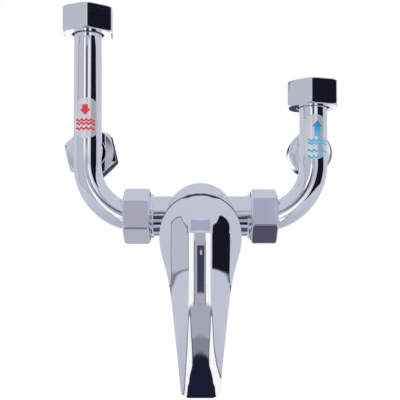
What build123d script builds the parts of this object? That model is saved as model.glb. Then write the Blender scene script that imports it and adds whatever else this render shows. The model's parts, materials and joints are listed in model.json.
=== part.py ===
"""Exposed single-lever mixer valve for an electric water heater, in millimetres.

The origin lies midway between the two wall connections, on the plane of their mouths.
+X is the cold side, -Y points at the user and +Z is up. The arms' axis lies in front of
the wall and below the wall connections. "Forward" is the distance in front of the arms' axis.
"""

from build123d import *
from dataclasses import dataclass
from math import acos, asin, atan2, cos, hypot, radians, sin
import os

# Setting out
PIPE_CENTRES = 150.0
WALL_STANDOFF = 28.0
PORT_RISE = 44.0
HOT_NUT_HEIGHT = 121.0
COLD_NUT_HEIGHT = 72.0

# Risers and what is brazed on them
TUBE_OD = 18.4
TUBE_WALL = 1.1
KINK_RADIUS = 12.0
KINK_ANGLE = 20.0
COLLAR_THICKNESS = 2.6
BRANCH_OD = 17.6
BRANCH_WALL = 1.2
SOCKET_OD = 29.6
SOCKET_EDGE = 1.6
SOCKET_THREAD = 12.5

# Pipe threads, as plain walls: G3/4 inner, pitch and outer, G1/2 inner and outer
G34_MINOR = 24.117
G34_PITCH = 25.279
G12_MINOR = 18.631
G12_MAJOR = 20.955
THREAD_CHAMFER = 0.6
THREAD_CLEARANCE = 0.02
THREAD_RUN_OUT = 0.5

# Union nuts and washers
NUT_FLATS = 32.2
NUT_LENGTH = 17.0
NUT_END_WALL = 3.0
NUT_HOLE = 21.0
NUT_HOLE_CHAMFER = 0.6
NUT_RELIEF = 25.3
NUT_TURN_ANGLE = 30.0
NUT_TURN_DEPTH = 1.1
NUT_EDGE_ROUND = 1.5
SWIVEL_GAP = 0.1
COLLAR_CLEARANCE = 0.16
WASHER_THICKNESS = 2.0
WASHER_BORE = 16.4
HOT_BODY_NUT_TURN = 29.0
COLD_BODY_NUT_TURN = 39.0
HOT_TOP_NUT_TURN = 35.0
COLD_TOP_NUT_TURN = 18.3
HOT_WALL_NUT_TURN = 17.0

# Valve body
BARREL_DROP = 3.0
BARREL_OD = 42.8
BARREL_BACK = 14.0
BARREL_BACK_ROUND = 6.0
BARREL_FRONT = 33.0
SPIGOT_LIP = 1.1
SPIGOT_START = 26.5
ARM_OD = 26.2
ARM_RING_OD = 29.0
ARM_RING_WIDTH = 1.7
RING_GAP = 0.4
BODY_NUT_REACH = 50.3
PASSAGE = 16.0
PASSAGE_END = 4.4
OUTLET_LENGTH = 46.0
OUTLET_NECK_OD = 24.0
OUTLET_THREAD_LENGTH = 11.0
OUTLET_BORE = 15.0
OUTLET_TOP = 7.5
OUTLET_RISE = 5.6
OUTLET_RISE_END = 1.0

# Cartridge
CARTRIDGE_OD = 35.0
CARTRIDGE_CLEARANCE = 0.1
CHAMBER_FLOOR = 11.0
CARTRIDGE_SHOULDER = 30.0
CARTRIDGE_NECK_STEP = 4.5
CARTRIDGE_NECK_WALL = 2.0
CARTRIDGE_NECK_END = 38.0
CARTRIDGE_WALL = 2.0
BASE_THICKNESS = 4.5
SEAL_DEPTH = 1.5
SEAL_OD = 9.2
PORT_HOLE = 6.0
INLET_INSET = 6.5
INLET_DOWN = 2.5
OUTLET_UP = 6.5
DISC_PLAY = 1.0
FIXED_DISC_THICKNESS = 3.0
MOVING_DISC_STEP = 3.0
MOVING_DISC_THICKNESS = 2.6
CARRIER_THICKNESS = 4.0
DISC_GAP = 0.02
RECESS_EDGE = 2.1
RECESS_HALF_HEIGHT = 5.4
RECESS_UP = 4.2
RECESS_DEPTH = 1.6
RIB_SPREAD = 7.0
RIB_WIDTH = 2.0
RIB_HEIGHT = 1.4
RIB_INSET = 5.5
GUIDE_CLEARANCE = 0.06
GUIDE_FLANGE_PLAY = 0.7
GUIDE_FLANGE = 2.0
GUIDE_FRONT = 38.5
GUIDE_SLOT = 13.0
PIN_OD = 3.0
PIN_INSET = 1.0
PIN_CLEARANCE = 0.04
SPINDLE_WIDTH = 8.0
SPINDLE_EYE_OD = 11.0
SPINDLE_REACH = 22.4
SPINDLE_CLEARANCE = 0.05
SPINDLE_TILT = 12.5
TAIL_REACH = 8.0
TAIL_OD = 4.0
TAIL_BALL = 5.6
BALL_CLEARANCE = 0.1
NUT_RING_LEDGE = 1.1
NUT_RING_THICKNESS = 4.5
NUT_HEX_WALL = 0.5
NUT_HEX_HEIGHT = 3.5

# Bonnet
BONNET_SKIRT = 2.0
BONNET_SHOULDER = 33.5
BONNET_ROUND = 6.0
BONNET_DOME_INSET = 2.5
BONNET_WALL = 1.3
BONNET_OPENING = 26.0
SEAL_GROOVE_AT = 27.8
SEAL_WIDTH = 1.6
SEAL_HEIGHT = 1.0

# Lever
PIVOT_FORWARD = 32.0
CAVITY_GAP = 0.8
LEVER_LENGTH = 123.5
LEVER_RISE = 12.9
LEVER_WIDTH = 50.0
LEVER_DEPTH = 27.3
LEVER_WALL = 2.4
LEVER_BAND_ANGLE = 43.0
BAND_LEAST = 1.2
EDGE_THICKNESS = 1.6
TIP_ROUND = 4.5
HOLLOW_REACH = 20.0
BOSS_OD = 14.0
BOSS_START = 14.5
BOSS_CAP = 1.4
LUG_OD = 9.0
SCREW_OD = 5.0
SCREW_LENGTH = 5.0
SCREW_AT = 19.3
SCREW_KEY = 2.5

# Labels
LABEL_THICKNESS = 0.12
LABEL_WIDTH = 17.8
HOT_LABEL_BOTTOM = 50.5
HOT_LABEL_TOP = 77.5
COLD_LABEL_BOTTOM = 36.8
COLD_LABEL_TOP = 66.5

# Worked out
riser_x = PIPE_CENTRES / 2
arm_y = -WALL_STANDOFF
arm_z = -PORT_RISE
barrel_z = arm_z - BARREL_DROP
tube_r = TUBE_OD / 2
collar_od = G34_MINOR - 2 * COLLAR_CLEARANCE
collar_seat = NUT_END_WALL + SWIVEL_GAP
washer_seat = collar_seat + COLLAR_THICKNESS
thread_start = washer_seat + WASHER_THICKNESS + THREAD_RUN_OUT
tight_washer_seat = NUT_END_WALL + COLLAR_THICKNESS
tube_tip = BODY_NUT_REACH - tight_washer_seat
stub_end = tube_tip - WASHER_THICKNESS
kink_start = BODY_NUT_REACH - NUT_END_WALL
kink_end = kink_start + KINK_RADIUS * sin(radians(KINK_ANGLE))
sweep_radius = (riser_x - kink_end) / (1 - sin(radians(KINK_ANGLE)))
nut_back_face = BODY_NUT_REACH - NUT_LENGTH
ring_outer = nut_back_face - RING_GAP
ring_inner = ring_outer - ARM_RING_WIDTH

neck_od = CARTRIDGE_OD - 2 * CARTRIDGE_NECK_STEP
guide_od = neck_od - 2 * CARTRIDGE_NECK_WALL
shell_bore = CARTRIDGE_OD - 2 * CARTRIDGE_WALL
guide_flange_od = shell_bore - 2 * GUIDE_FLANGE_PLAY
disc_od = shell_bore - 2 * DISC_PLAY
moving_disc_od = disc_od - 2 * MOVING_DISC_STEP
inlet_spread = disc_od / 2 - INLET_INSET
nut_ring_od = CARTRIDGE_OD + 2 * NUT_RING_LEDGE
spigot_od = nut_ring_od + 2 * SPIGOT_LIP
bonnet_r = spigot_od / 2 + BONNET_SKIRT
bonnet_dome = bonnet_r - BONNET_DOME_INSET

barrel_axis = Axis((0, arm_y, barrel_z), (0, -1, 0))

os.makedirs("parts", exist_ok=True)


def save(piece, name):
    """Label a finished sub-part and write it to its own file."""
    piece.label = name
    export_step(piece, f"parts/{name}.step")


def ahead(forward, x=0.0, z=barrel_z):
    """Plane that faces the user, so many millimetres in front of the arms' axis."""
    return Plane(origin=(x, arm_y - forward, z), x_dir=(1, 0, 0), z_dir=(0, -1, 0))


def level(up, x=0.0, z=arm_z):
    """Horizontal plane above the arms' axis, with its local y towards the wall."""
    return Plane(origin=(x, arm_y, z + up), x_dir=(1, 0, 0), z_dir=(0, 0, 1))


def squared(reach, side):
    """Plane across an arm at a distance from the barrel, facing away from it."""
    return Plane(origin=(side * reach, arm_y, arm_z), x_dir=(0, side, 0), z_dir=(side, 0, 0))


# Plane that cuts the barrel lengthwise: local x is forward, local y is up
profile = Plane(origin=(0, arm_y, barrel_z), x_dir=(0, -1, 0), z_dir=(-1, 0, 0))


def turned(outline):
    """Solid turned round the barrel's axis from a closed outline of (forward, radius) points."""
    with BuildPart() as piece:
        with BuildSketch(profile):
            with BuildLine():
                Polyline(*outline, close=True)
            make_face()
        revolve(axis=barrel_axis)
    return piece.part


def ring(plane, outer, inner, thickness):
    """Flat ring that grows from a plane along its normal."""
    with BuildPart() as piece:
        with BuildSketch(plane):
            Circle(outer / 2)
            Circle(inner / 2, mode=Mode.SUBTRACT)
        extrude(amount=thickness)
    return piece.part


def union_nut(plane, turn, thread):
    """Union nut: closed end on the plane, mouth along its normal, hexagon turned by an angle."""
    across_corners = NUT_FLATS / cos(radians(30))
    slope = NUT_TURN_DEPTH / sin(radians(NUT_TURN_ANGLE)) * cos(radians(NUT_TURN_ANGLE))
    outer = across_corners / 2
    with BuildPart() as nut:
        with BuildSketch(plane):
            RegularPolygon(NUT_FLATS / 2, 6, major_radius=False, rotation=turn)
        extrude(amount=NUT_LENGTH)
        fillet(nut.edges().filter_by(Axis(plane.origin, plane.z_dir)), NUT_EDGE_ROUND)
        with BuildSketch(Plane(origin=plane.origin, x_dir=plane.x_dir, z_dir=-plane.y_dir)):
            with BuildLine():
                Polyline(
                    (0, 0),
                    (outer - slope, 0),
                    (outer, NUT_TURN_DEPTH),
                    (outer, NUT_LENGTH - NUT_TURN_DEPTH),
                    (outer - slope, NUT_LENGTH),
                    (0, NUT_LENGTH),
                    close=True,
                )
            make_face()
        revolve(axis=Axis(plane.origin, plane.z_dir), mode=Mode.INTERSECT)
        with BuildSketch(Plane(origin=plane.origin, x_dir=plane.x_dir, z_dir=-plane.y_dir)):
            with BuildLine():
                Polyline(
                    (0, 0),
                    (NUT_HOLE / 2 + NUT_HOLE_CHAMFER, 0),
                    (NUT_HOLE / 2, NUT_HOLE_CHAMFER),
                    (NUT_HOLE / 2, NUT_END_WALL),
                    (NUT_RELIEF / 2, NUT_END_WALL),
                    (NUT_RELIEF / 2, thread_start),
                    (thread / 2, thread_start),
                    (thread / 2, NUT_LENGTH - THREAD_CHAMFER),
                    (thread / 2 + THREAD_CHAMFER, NUT_LENGTH),
                    (0, NUT_LENGTH),
                    close=True,
                )
            make_face()
        revolve(axis=Axis(plane.origin, plane.z_dir), mode=Mode.SUBTRACT)
    return nut.part


def riser(side, nut_height):
    """Bent tube from the arm's washer up to the heater's washer, open for its rear branch."""
    tip = nut_height + washer_seat
    with BuildPart() as tube:
        with BuildLine(Plane(origin=(0, arm_y, arm_z), x_dir=(side, 0, 0), z_dir=(0, -side, 0))) as route:
            end = Line((tube_tip, 0), (kink_start, 0))
            kink = JernArc(start=end @ 1, tangent=(1, 0), radius=KINK_RADIUS, arc_size=KINK_ANGLE)
            bend = JernArc(start=kink @ 1, tangent=kink % 1, radius=sweep_radius, arc_size=90 - KINK_ANGLE)
            Line(bend @ 1, (riser_x, tip))
        with BuildSketch(squared(tube_tip, side)):
            Circle(tube_r)
            Circle(tube_r - TUBE_WALL, mode=Mode.SUBTRACT)
        sweep(path=route.wires()[0])
        with BuildSketch(ahead(-tube_r, side * riser_x, 0)):
            Circle(BRANCH_OD / 2 - BRANCH_WALL)
        extrude(amount=tube_r, mode=Mode.SUBTRACT)
    return tube.part


# Valve body: barrel, arms, ring flanges, threaded stubs and shower outlet
with BuildPart() as valve_body:
    with BuildSketch(ahead(-BARREL_BACK)):
        Circle(BARREL_OD / 2)
    extrude(amount=BARREL_BACK + SPIGOT_START)
    fillet(valve_body.faces().sort_by(Axis.Y)[-1].edges(), BARREL_BACK_ROUND)
    with BuildSketch(ahead(SPIGOT_START)):
        Circle(spigot_od / 2)
    extrude(amount=BARREL_FRONT - SPIGOT_START)
    with BuildSketch(ahead(SEAL_GROOVE_AT)):
        Circle(spigot_od / 2)
        Circle(spigot_od / 2 - SEAL_HEIGHT, mode=Mode.SUBTRACT)
    extrude(amount=SEAL_WIDTH, mode=Mode.SUBTRACT)
    for side in (-1, 1):
        with BuildSketch(squared(0, side)):
            Circle(ARM_OD / 2)
        extrude(amount=ring_inner)
        with BuildSketch(squared(ring_inner, side)):
            Circle(ARM_RING_OD / 2)
        extrude(amount=ARM_RING_WIDTH)
        with BuildSketch(squared(ring_outer, side)):
            Circle(G34_PITCH / 2 - THREAD_CLEARANCE)
        extrude(amount=stub_end - ring_outer)
    with BuildSketch(level(0)):
        Circle(OUTLET_NECK_OD / 2)
    extrude(amount=OUTLET_THREAD_LENGTH - OUTLET_LENGTH)
    with BuildSketch(level(OUTLET_THREAD_LENGTH - OUTLET_LENGTH)):
        Circle(G12_MAJOR / 2)
    extrude(amount=-OUTLET_THREAD_LENGTH)
    with BuildSketch(ahead(CHAMBER_FLOOR)):
        Circle(CARTRIDGE_OD / 2 + CARTRIDGE_CLEARANCE)
    extrude(amount=BARREL_FRONT - CHAMBER_FLOOR, mode=Mode.SUBTRACT)
    with BuildSketch(ahead(CARTRIDGE_SHOULDER)):
        Circle(nut_ring_od / 2 + THREAD_CLEARANCE)
    extrude(amount=BARREL_FRONT - CARTRIDGE_SHOULDER, mode=Mode.SUBTRACT)
    for side in (-1, 1):
        with BuildSketch(squared(PASSAGE_END, side)):
            Circle(PASSAGE / 2)
        extrude(amount=stub_end - PASSAGE_END, mode=Mode.SUBTRACT)
    with BuildSketch(level(-OUTLET_LENGTH)):
        Circle(OUTLET_BORE / 2)
    extrude(amount=OUTLET_LENGTH - BARREL_DROP - OUTLET_TOP, mode=Mode.SUBTRACT)
    with BuildSketch(level(-OUTLET_LENGTH)):
        Circle(OUTLET_RISE / 2)
    extrude(amount=OUTLET_LENGTH - BARREL_DROP + OUTLET_UP + OUTLET_RISE_END, mode=Mode.SUBTRACT)
    with BuildSketch(ahead(0)):
        with Locations((inlet_spread, -INLET_DOWN), (-inlet_spread, -INLET_DOWN), (0, OUTLET_UP)):
            Circle(PORT_HOLE / 2)
    extrude(amount=CHAMBER_FLOOR, mode=Mode.SUBTRACT)
save(valve_body.part, "valve_body")

# Risers with their collars, nuts and washers
for name, side, height, body_turn, top_turn in (
    ("hot", -1, HOT_NUT_HEIGHT, HOT_BODY_NUT_TURN, HOT_TOP_NUT_TURN),
    ("cold", 1, COLD_NUT_HEIGHT, COLD_BODY_NUT_TURN, COLD_TOP_NUT_TURN),
):
    x = side * riser_x
    inward = Plane(origin=(side * BODY_NUT_REACH, arm_y, arm_z), x_dir=(0, 1, 0), z_dir=(-side, 0, 0))
    save(riser(side, height), f"{name}_riser")
    save(ring(level(height + collar_seat, x), collar_od, TUBE_OD, COLLAR_THICKNESS), f"{name}_top_collar")
    save(ring(level(height + washer_seat, x), collar_od, WASHER_BORE, WASHER_THICKNESS), f"{name}_top_washer")
    save(union_nut(level(height, x), top_turn, G34_MINOR), f"{name}_top_nut")
    save(ring(inward.offset(NUT_END_WALL), collar_od, TUBE_OD, COLLAR_THICKNESS), f"{name}_body_collar")
    body_washer = ring(inward.offset(tight_washer_seat), collar_od, WASHER_BORE, WASHER_THICKNESS)
    save(body_washer, f"{name}_body_washer")
    save(union_nut(inward, body_turn, G34_PITCH), f"{name}_body_nut")

# Hot wall connection: branch tailpiece, washer and swivel nut
hot_port = Plane(origin=(-riser_x, -NUT_LENGTH, 0), x_dir=(1, 0, 0), z_dir=(0, 1, 0))
with BuildPart() as hot_tailpiece:
    with BuildSketch(ahead(0, -riser_x, 0)):
        Circle(BRANCH_OD / 2)
    extrude(amount=-(WALL_STANDOFF - NUT_LENGTH + washer_seat))
    with BuildSketch(hot_port.offset(collar_seat)):
        Circle(collar_od / 2)
    extrude(amount=COLLAR_THICKNESS)
    with BuildSketch(ahead(0, -riser_x, 0)):
        Circle(BRANCH_OD / 2 - BRANCH_WALL)
    extrude(amount=-WALL_STANDOFF, mode=Mode.SUBTRACT)
    with BuildSketch(level(0, -riser_x, -NUT_FLATS)):
        Circle(tube_r)
    extrude(amount=2 * NUT_FLATS, mode=Mode.SUBTRACT)
save(hot_tailpiece.part, "hot_wall_tailpiece")
save(ring(hot_port.offset(washer_seat), collar_od, WASHER_BORE, WASHER_THICKNESS), "hot_wall_washer")
save(union_nut(hot_port, HOT_WALL_NUT_TURN, G34_MINOR), "hot_wall_nut")

# Cold wall connection: round socket brazed on the riser
with BuildPart() as cold_socket:
    with BuildSketch(Plane(origin=(riser_x, -NUT_LENGTH, 0), x_dir=(1, 0, 0), z_dir=(0, 1, 0))):
        Circle(SOCKET_OD / 2)
    extrude(amount=NUT_LENGTH)
    fillet(cold_socket.faces().sort_by(Axis.Y)[0].edges(), SOCKET_EDGE)
    with BuildSketch(ahead(0, riser_x, 0)):
        Circle(BRANCH_OD / 2)
    extrude(amount=-(WALL_STANDOFF - NUT_LENGTH + SOCKET_EDGE))
    with BuildSketch(ahead(0, riser_x, 0)):
        Circle(BRANCH_OD / 2 - BRANCH_WALL)
    extrude(amount=-WALL_STANDOFF, mode=Mode.SUBTRACT)
    with BuildSketch(Plane(origin=(riser_x, -SOCKET_THREAD, 0), x_dir=(1, 0, 0), z_dir=(0, 1, 0))):
        Circle(G12_MINOR / 2)
    extrude(amount=SOCKET_THREAD, mode=Mode.SUBTRACT)
    with BuildSketch(level(0, riser_x, -NUT_FLATS)):
        Circle(tube_r)
    extrude(amount=2 * NUT_FLATS, mode=Mode.SUBTRACT)
    mouth = cold_socket.faces().sort_by(Axis.Y)[-1]
    chamfer(mouth.edges().sort_by(SortBy.RADIUS)[0], THREAD_CHAMFER)
save(cold_socket.part, "cold_wall_socket")

# Cartridge, from the chamber's floor forward
base_top = CHAMBER_FLOOR + BASE_THICKNESS
fixed_top = base_top + FIXED_DISC_THICKNESS
moving_start = fixed_top + DISC_GAP
moving_top = moving_start + MOVING_DISC_THICKNESS
carrier_top = moving_top + CARRIER_THICKNESS
flange_start = carrier_top + 2 * DISC_GAP + SWIVEL_GAP
flange_top = flange_start + GUIDE_FLANGE
plate_start = flange_top + SWIVEL_GAP
disc_up = TAIL_REACH * sin(radians(SPINDLE_TILT))
port_places = ((inlet_spread, -INLET_DOWN), (-inlet_spread, -INLET_DOWN), (0, OUTLET_UP))

cartridge_shell = turned(
    [
        (CHAMBER_FLOOR, shell_bore / 2),
        (CHAMBER_FLOOR, CARTRIDGE_OD / 2),
        (CARTRIDGE_SHOULDER, CARTRIDGE_OD / 2),
        (CARTRIDGE_SHOULDER, neck_od / 2),
        (CARTRIDGE_NECK_END, neck_od / 2),
        (CARTRIDGE_NECK_END, guide_od / 2 + GUIDE_CLEARANCE),
        (plate_start, guide_od / 2 + GUIDE_CLEARANCE),
        (plate_start, shell_bore / 2),
    ]
)
save(cartridge_shell, "cartridge_shell")

with BuildPart() as cartridge_base:
    with BuildSketch(ahead(CHAMBER_FLOOR)):
        Circle(shell_bore / 2)
        with Locations(*port_places):
            Circle(PORT_HOLE / 2, mode=Mode.SUBTRACT)
    extrude(amount=BASE_THICKNESS)
    with BuildSketch(ahead(CHAMBER_FLOOR)):
        with Locations(*port_places):
            Circle(SEAL_OD / 2)
    extrude(amount=SEAL_DEPTH, mode=Mode.SUBTRACT)
save(cartridge_base.part, "cartridge_base")

with BuildPart() as base_seals:
    with BuildSketch(ahead(CHAMBER_FLOOR)):
        with Locations(*port_places):
            Circle(SEAL_OD / 2)
            Circle(PORT_HOLE / 2, mode=Mode.SUBTRACT)
    extrude(amount=SEAL_DEPTH)
save(base_seals.part, "base_seals")

with BuildPart() as fixed_disc:
    with BuildSketch(ahead(base_top)):
        Circle(disc_od / 2)
        with Locations(*port_places):
            Circle(PORT_HOLE / 2, mode=Mode.SUBTRACT)
    extrude(amount=FIXED_DISC_THICKNESS)
save(fixed_disc.part, "fixed_disc")

with BuildPart() as moving_disc:
    with BuildSketch(ahead(moving_start)):
        with Locations((0, disc_up)):
            Circle(moving_disc_od / 2)
    extrude(amount=MOVING_DISC_THICKNESS)
    with BuildSketch(ahead(moving_start)):
        with Locations((0, disc_up + RECESS_UP)):
            Ellipse(moving_disc_od / 2 - RECESS_EDGE, RECESS_HALF_HEIGHT)
    extrude(amount=RECESS_DEPTH, mode=Mode.SUBTRACT)
save(moving_disc.part, "moving_disc")

with BuildPart() as disc_carrier:
    with BuildSketch(ahead(moving_top)):
        with Locations((0, disc_up)):
            Circle(moving_disc_od / 2)
    extrude(amount=CARRIER_THICKNESS)
    with BuildSketch(ahead(carrier_top)):
        with Locations((-RIB_SPREAD, disc_up), (RIB_SPREAD, disc_up)):
            Rectangle(RIB_WIDTH, moving_disc_od - 2 * RIB_INSET)
    extrude(amount=RIB_HEIGHT)
    with BuildSketch(ahead(moving_top)):
        with Locations((0, disc_up)):
            Circle(TAIL_BALL / 2 + BALL_CLEARANCE)
    extrude(amount=CARRIER_THICKNESS, mode=Mode.SUBTRACT)
save(disc_carrier.part, "disc_carrier")

with BuildPart() as spindle_guide:
    with BuildSketch(ahead(flange_start)):
        Circle(guide_flange_od / 2)
    extrude(amount=GUIDE_FLANGE)
    with BuildSketch(ahead(flange_top)):
        Circle(guide_od / 2)
    extrude(amount=GUIDE_FRONT - flange_top)
    with BuildSketch(ahead(flange_start)):
        Rectangle(SPINDLE_WIDTH + 2 * GUIDE_CLEARANCE, GUIDE_SLOT)
    extrude(amount=GUIDE_FRONT - flange_start, mode=Mode.SUBTRACT)
    with BuildSketch(ahead(flange_start)):
        with Locations((-RIB_SPREAD, 0), (RIB_SPREAD, 0)):
            Rectangle(RIB_WIDTH + 2 * GUIDE_CLEARANCE, guide_flange_od)
    extrude(amount=RIB_HEIGHT - SWIVEL_GAP + GUIDE_CLEARANCE, mode=Mode.SUBTRACT)
    with BuildSketch(Plane(origin=(0, arm_y - PIVOT_FORWARD, barrel_z), x_dir=(0, 1, 0), z_dir=(1, 0, 0))):
        Circle(PIN_OD / 2)
    extrude(amount=guide_od / 2 - PIN_INSET, both=True, mode=Mode.SUBTRACT)
save(spindle_guide.part, "spindle_guide")

with BuildPart() as pivot_pin:
    with BuildSketch(Plane(origin=(0, arm_y - PIVOT_FORWARD, barrel_z), x_dir=(0, 1, 0), z_dir=(1, 0, 0))):
        Circle(PIN_OD / 2)
    extrude(amount=guide_od / 2 - PIN_INSET, both=True)
save(pivot_pin.part, "pivot_pin")

# Spindle, tipped down about the pivot pin as it lies with the valve shut
tilt = radians(SPINDLE_TILT)
pivot = Vector(0, arm_y - PIVOT_FORWARD, barrel_z)
spindle_dir = Vector(0, -cos(tilt), -sin(tilt))
across_pin = Plane(origin=pivot, x_dir=(0, 1, 0), z_dir=(1, 0, 0))
along_spindle = Plane(origin=pivot, x_dir=(1, 0, 0), z_dir=spindle_dir)
with BuildPart() as spindle:
    with BuildSketch(along_spindle):
        Rectangle(SPINDLE_WIDTH, SPINDLE_WIDTH)
    extrude(amount=SPINDLE_REACH)
    chamfer(spindle.faces().sort_by(Axis(pivot, spindle_dir))[-1].edges(), THREAD_CHAMFER)
    with BuildSketch(across_pin):
        Circle(SPINDLE_EYE_OD / 2)
    extrude(amount=SPINDLE_WIDTH / 2, both=True)
    with BuildSketch(along_spindle):
        Circle(TAIL_OD / 2)
    extrude(amount=-TAIL_REACH)
    with Locations(pivot - spindle_dir * TAIL_REACH):
        Sphere(TAIL_BALL / 2)
    with BuildSketch(across_pin):
        Circle(PIN_OD / 2 + PIN_CLEARANCE)
    extrude(amount=SPINDLE_WIDTH / 2, both=True, mode=Mode.SUBTRACT)
save(spindle.part, "spindle")

# Retaining nut, bonnet and its seal ring
ring_top = CARTRIDGE_SHOULDER + NUT_RING_THICKNESS
with BuildPart() as cartridge_nut:
    with BuildSketch(ahead(CARTRIDGE_SHOULDER)):
        Circle(nut_ring_od / 2)
    extrude(amount=NUT_RING_THICKNESS)
    with BuildSketch(ahead(ring_top)):
        RegularPolygon(neck_od / 2 + NUT_HEX_WALL, 6, major_radius=False)
    extrude(amount=NUT_HEX_HEIGHT)
    with BuildSketch(ahead(CARTRIDGE_SHOULDER)):
        Circle(neck_od / 2)
    extrude(amount=NUT_RING_THICKNESS + NUT_HEX_HEIGHT, mode=Mode.SUBTRACT)
save(cartridge_nut.part, "cartridge_nut")

bonnet_start = SPIGOT_START + SWIVEL_GAP
bonnet_bore = spigot_od / 2 + THREAD_CLEARANCE
shoulder_ahead = BONNET_SHOULDER - PIVOT_FORWARD
cone_lean = atan2(shoulder_ahead, bonnet_r) + acos(bonnet_dome / hypot(shoulder_ahead, bonnet_r))


def dome_arc(radius):
    """Arc of a dome about the pivot in the barrel's profile plane, from the cone to the opening."""
    last = acos(BONNET_OPENING / 2 / radius)
    bows = (cone_lean, (cone_lean + last) / 2, last)
    return ThreePointArc(*[(PIVOT_FORWARD + radius * sin(bow), radius * cos(bow)) for bow in bows])


with BuildPart() as bonnet:
    with BuildSketch(profile):
        with BuildLine():
            outer_dome = dome_arc(bonnet_dome)
            inner_dome = dome_arc(bonnet_dome - BONNET_WALL)
            cone_start = inner_dome @ 0
            inner_step = cone_start.X - (bonnet_bore - cone_start.Y) * cos(cone_lean) / sin(cone_lean)
            Line(outer_dome @ 1, inner_dome @ 1)
            Polyline(
                outer_dome @ 0,
                (BONNET_SHOULDER, bonnet_r),
                (bonnet_start, bonnet_r),
                (bonnet_start, bonnet_bore),
                (inner_step, bonnet_bore),
                cone_start,
            )
        make_face()
    revolve(axis=barrel_axis)
    rims = bonnet.edges().filter_by(GeomType.CIRCLE).filter_by(lambda e: abs(e.radius - bonnet_r) < 0.01)
    fillet(rims.sort_by(Axis.Y)[0], BONNET_ROUND)
save(bonnet.part, "bonnet")

seal_bore = spigot_od - 2 * SEAL_HEIGHT
save(ring(ahead(SEAL_GROOVE_AT), spigot_od, seal_bore, SEAL_WIDTH), "bonnet_seal")

# Lever: crowned shell on horizontal sections, open at the back
@dataclass
class Station:
    """One horizontal section of the lever, in shares of its length, depth and half width.

    Down is measured from the top, front and back from the pivot. Half width and the crown's
    radius are shares of the half width.
    """

    down: float
    front: float
    half_width: float
    crown: float
    back: float


LEVER_STATIONS = [
    Station(0.000, 0.681, 0.120, 0.48, 0.637),
    Station(0.007, 0.725, 0.288, 0.60, 0.630),
    Station(0.028, 0.802, 0.520, 0.80, 0.601),
    Station(0.064, 0.886, 0.744, 0.96, 0.546),
    Station(0.121, 0.956, 0.920, 1.04, 0.462),
    Station(0.185, 0.993, 1.000, 1.04, 0.374),
    Station(0.250, 1.000, 0.980, 1.04, 0.315),
    Station(0.323, 0.982, 0.892, 1.04, 0.300),
    Station(0.412, 0.934, 0.776, 1.04, 0.315),
    Station(0.542, 0.839, 0.680, 1.12, 0.344),
    Station(0.687, 0.696, 0.608, 1.32, 0.344),
    Station(0.833, 0.513, 0.536, 1.60, 0.278),
    Station(0.922, 0.388, 0.500, 1.80, 0.212),
    Station(1.000, 0.271, 0.464, 2.00, 0.139),
]


def sized(station):
    """The station's up, front, half width, crown and back in millimetres."""
    half = LEVER_WIDTH / 2
    front = PIVOT_FORWARD + station.front * LEVER_DEPTH
    back = PIVOT_FORWARD + station.back * LEVER_DEPTH
    up = LEVER_RISE - station.down * LEVER_LENGTH
    return up, front, station.half_width * half, station.crown * half, back


def lever_section(station, wall):
    """Closed face of one section: crowned front, straight bands and a flat back."""
    up, front, half, crown, rear = sized(station)
    half -= wall
    crown -= wall
    front -= wall
    turn = min(radians(LEVER_BAND_ANGLE), asin((half - BAND_LEAST) / crown))
    edge_x = crown * sin(turn)
    edge = front - crown * (1 - cos(turn))
    rim = edge - (half - edge_x) * sin(turn) / cos(turn)
    back = min(rear, rim - EDGE_THICKNESS) - (HOLLOW_REACH if wall else 0)
    steps = [turn * share for share in (-1, -0.5, 0, 0.5, 1)]
    crest = [(crown * sin(at), crown * (1 - cos(at)) - front) for at in steps]
    slope = (cos(turn), sin(turn))
    with BuildSketch(Plane(origin=pivot + Vector(0, PIVOT_FORWARD, up), x_dir=(1, 0, 0))) as section:
        with BuildLine():
            Spline(*crest, tangents=((slope[0], -slope[1]), slope))
            Polyline(
                (edge_x, -edge),
                (half, -rim),
                (half, -back),
                (-half, -back),
                (-half, -rim),
                (-edge_x, -edge),
            )
        make_face()
    return section.sketch


def lever_body(stations, wall):
    """Smooth solid through the lever's sections, set in by a wall thickness."""
    with BuildPart() as body:
        loft([lever_section(station, wall).face() for station in stations])
    return body.part


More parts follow.
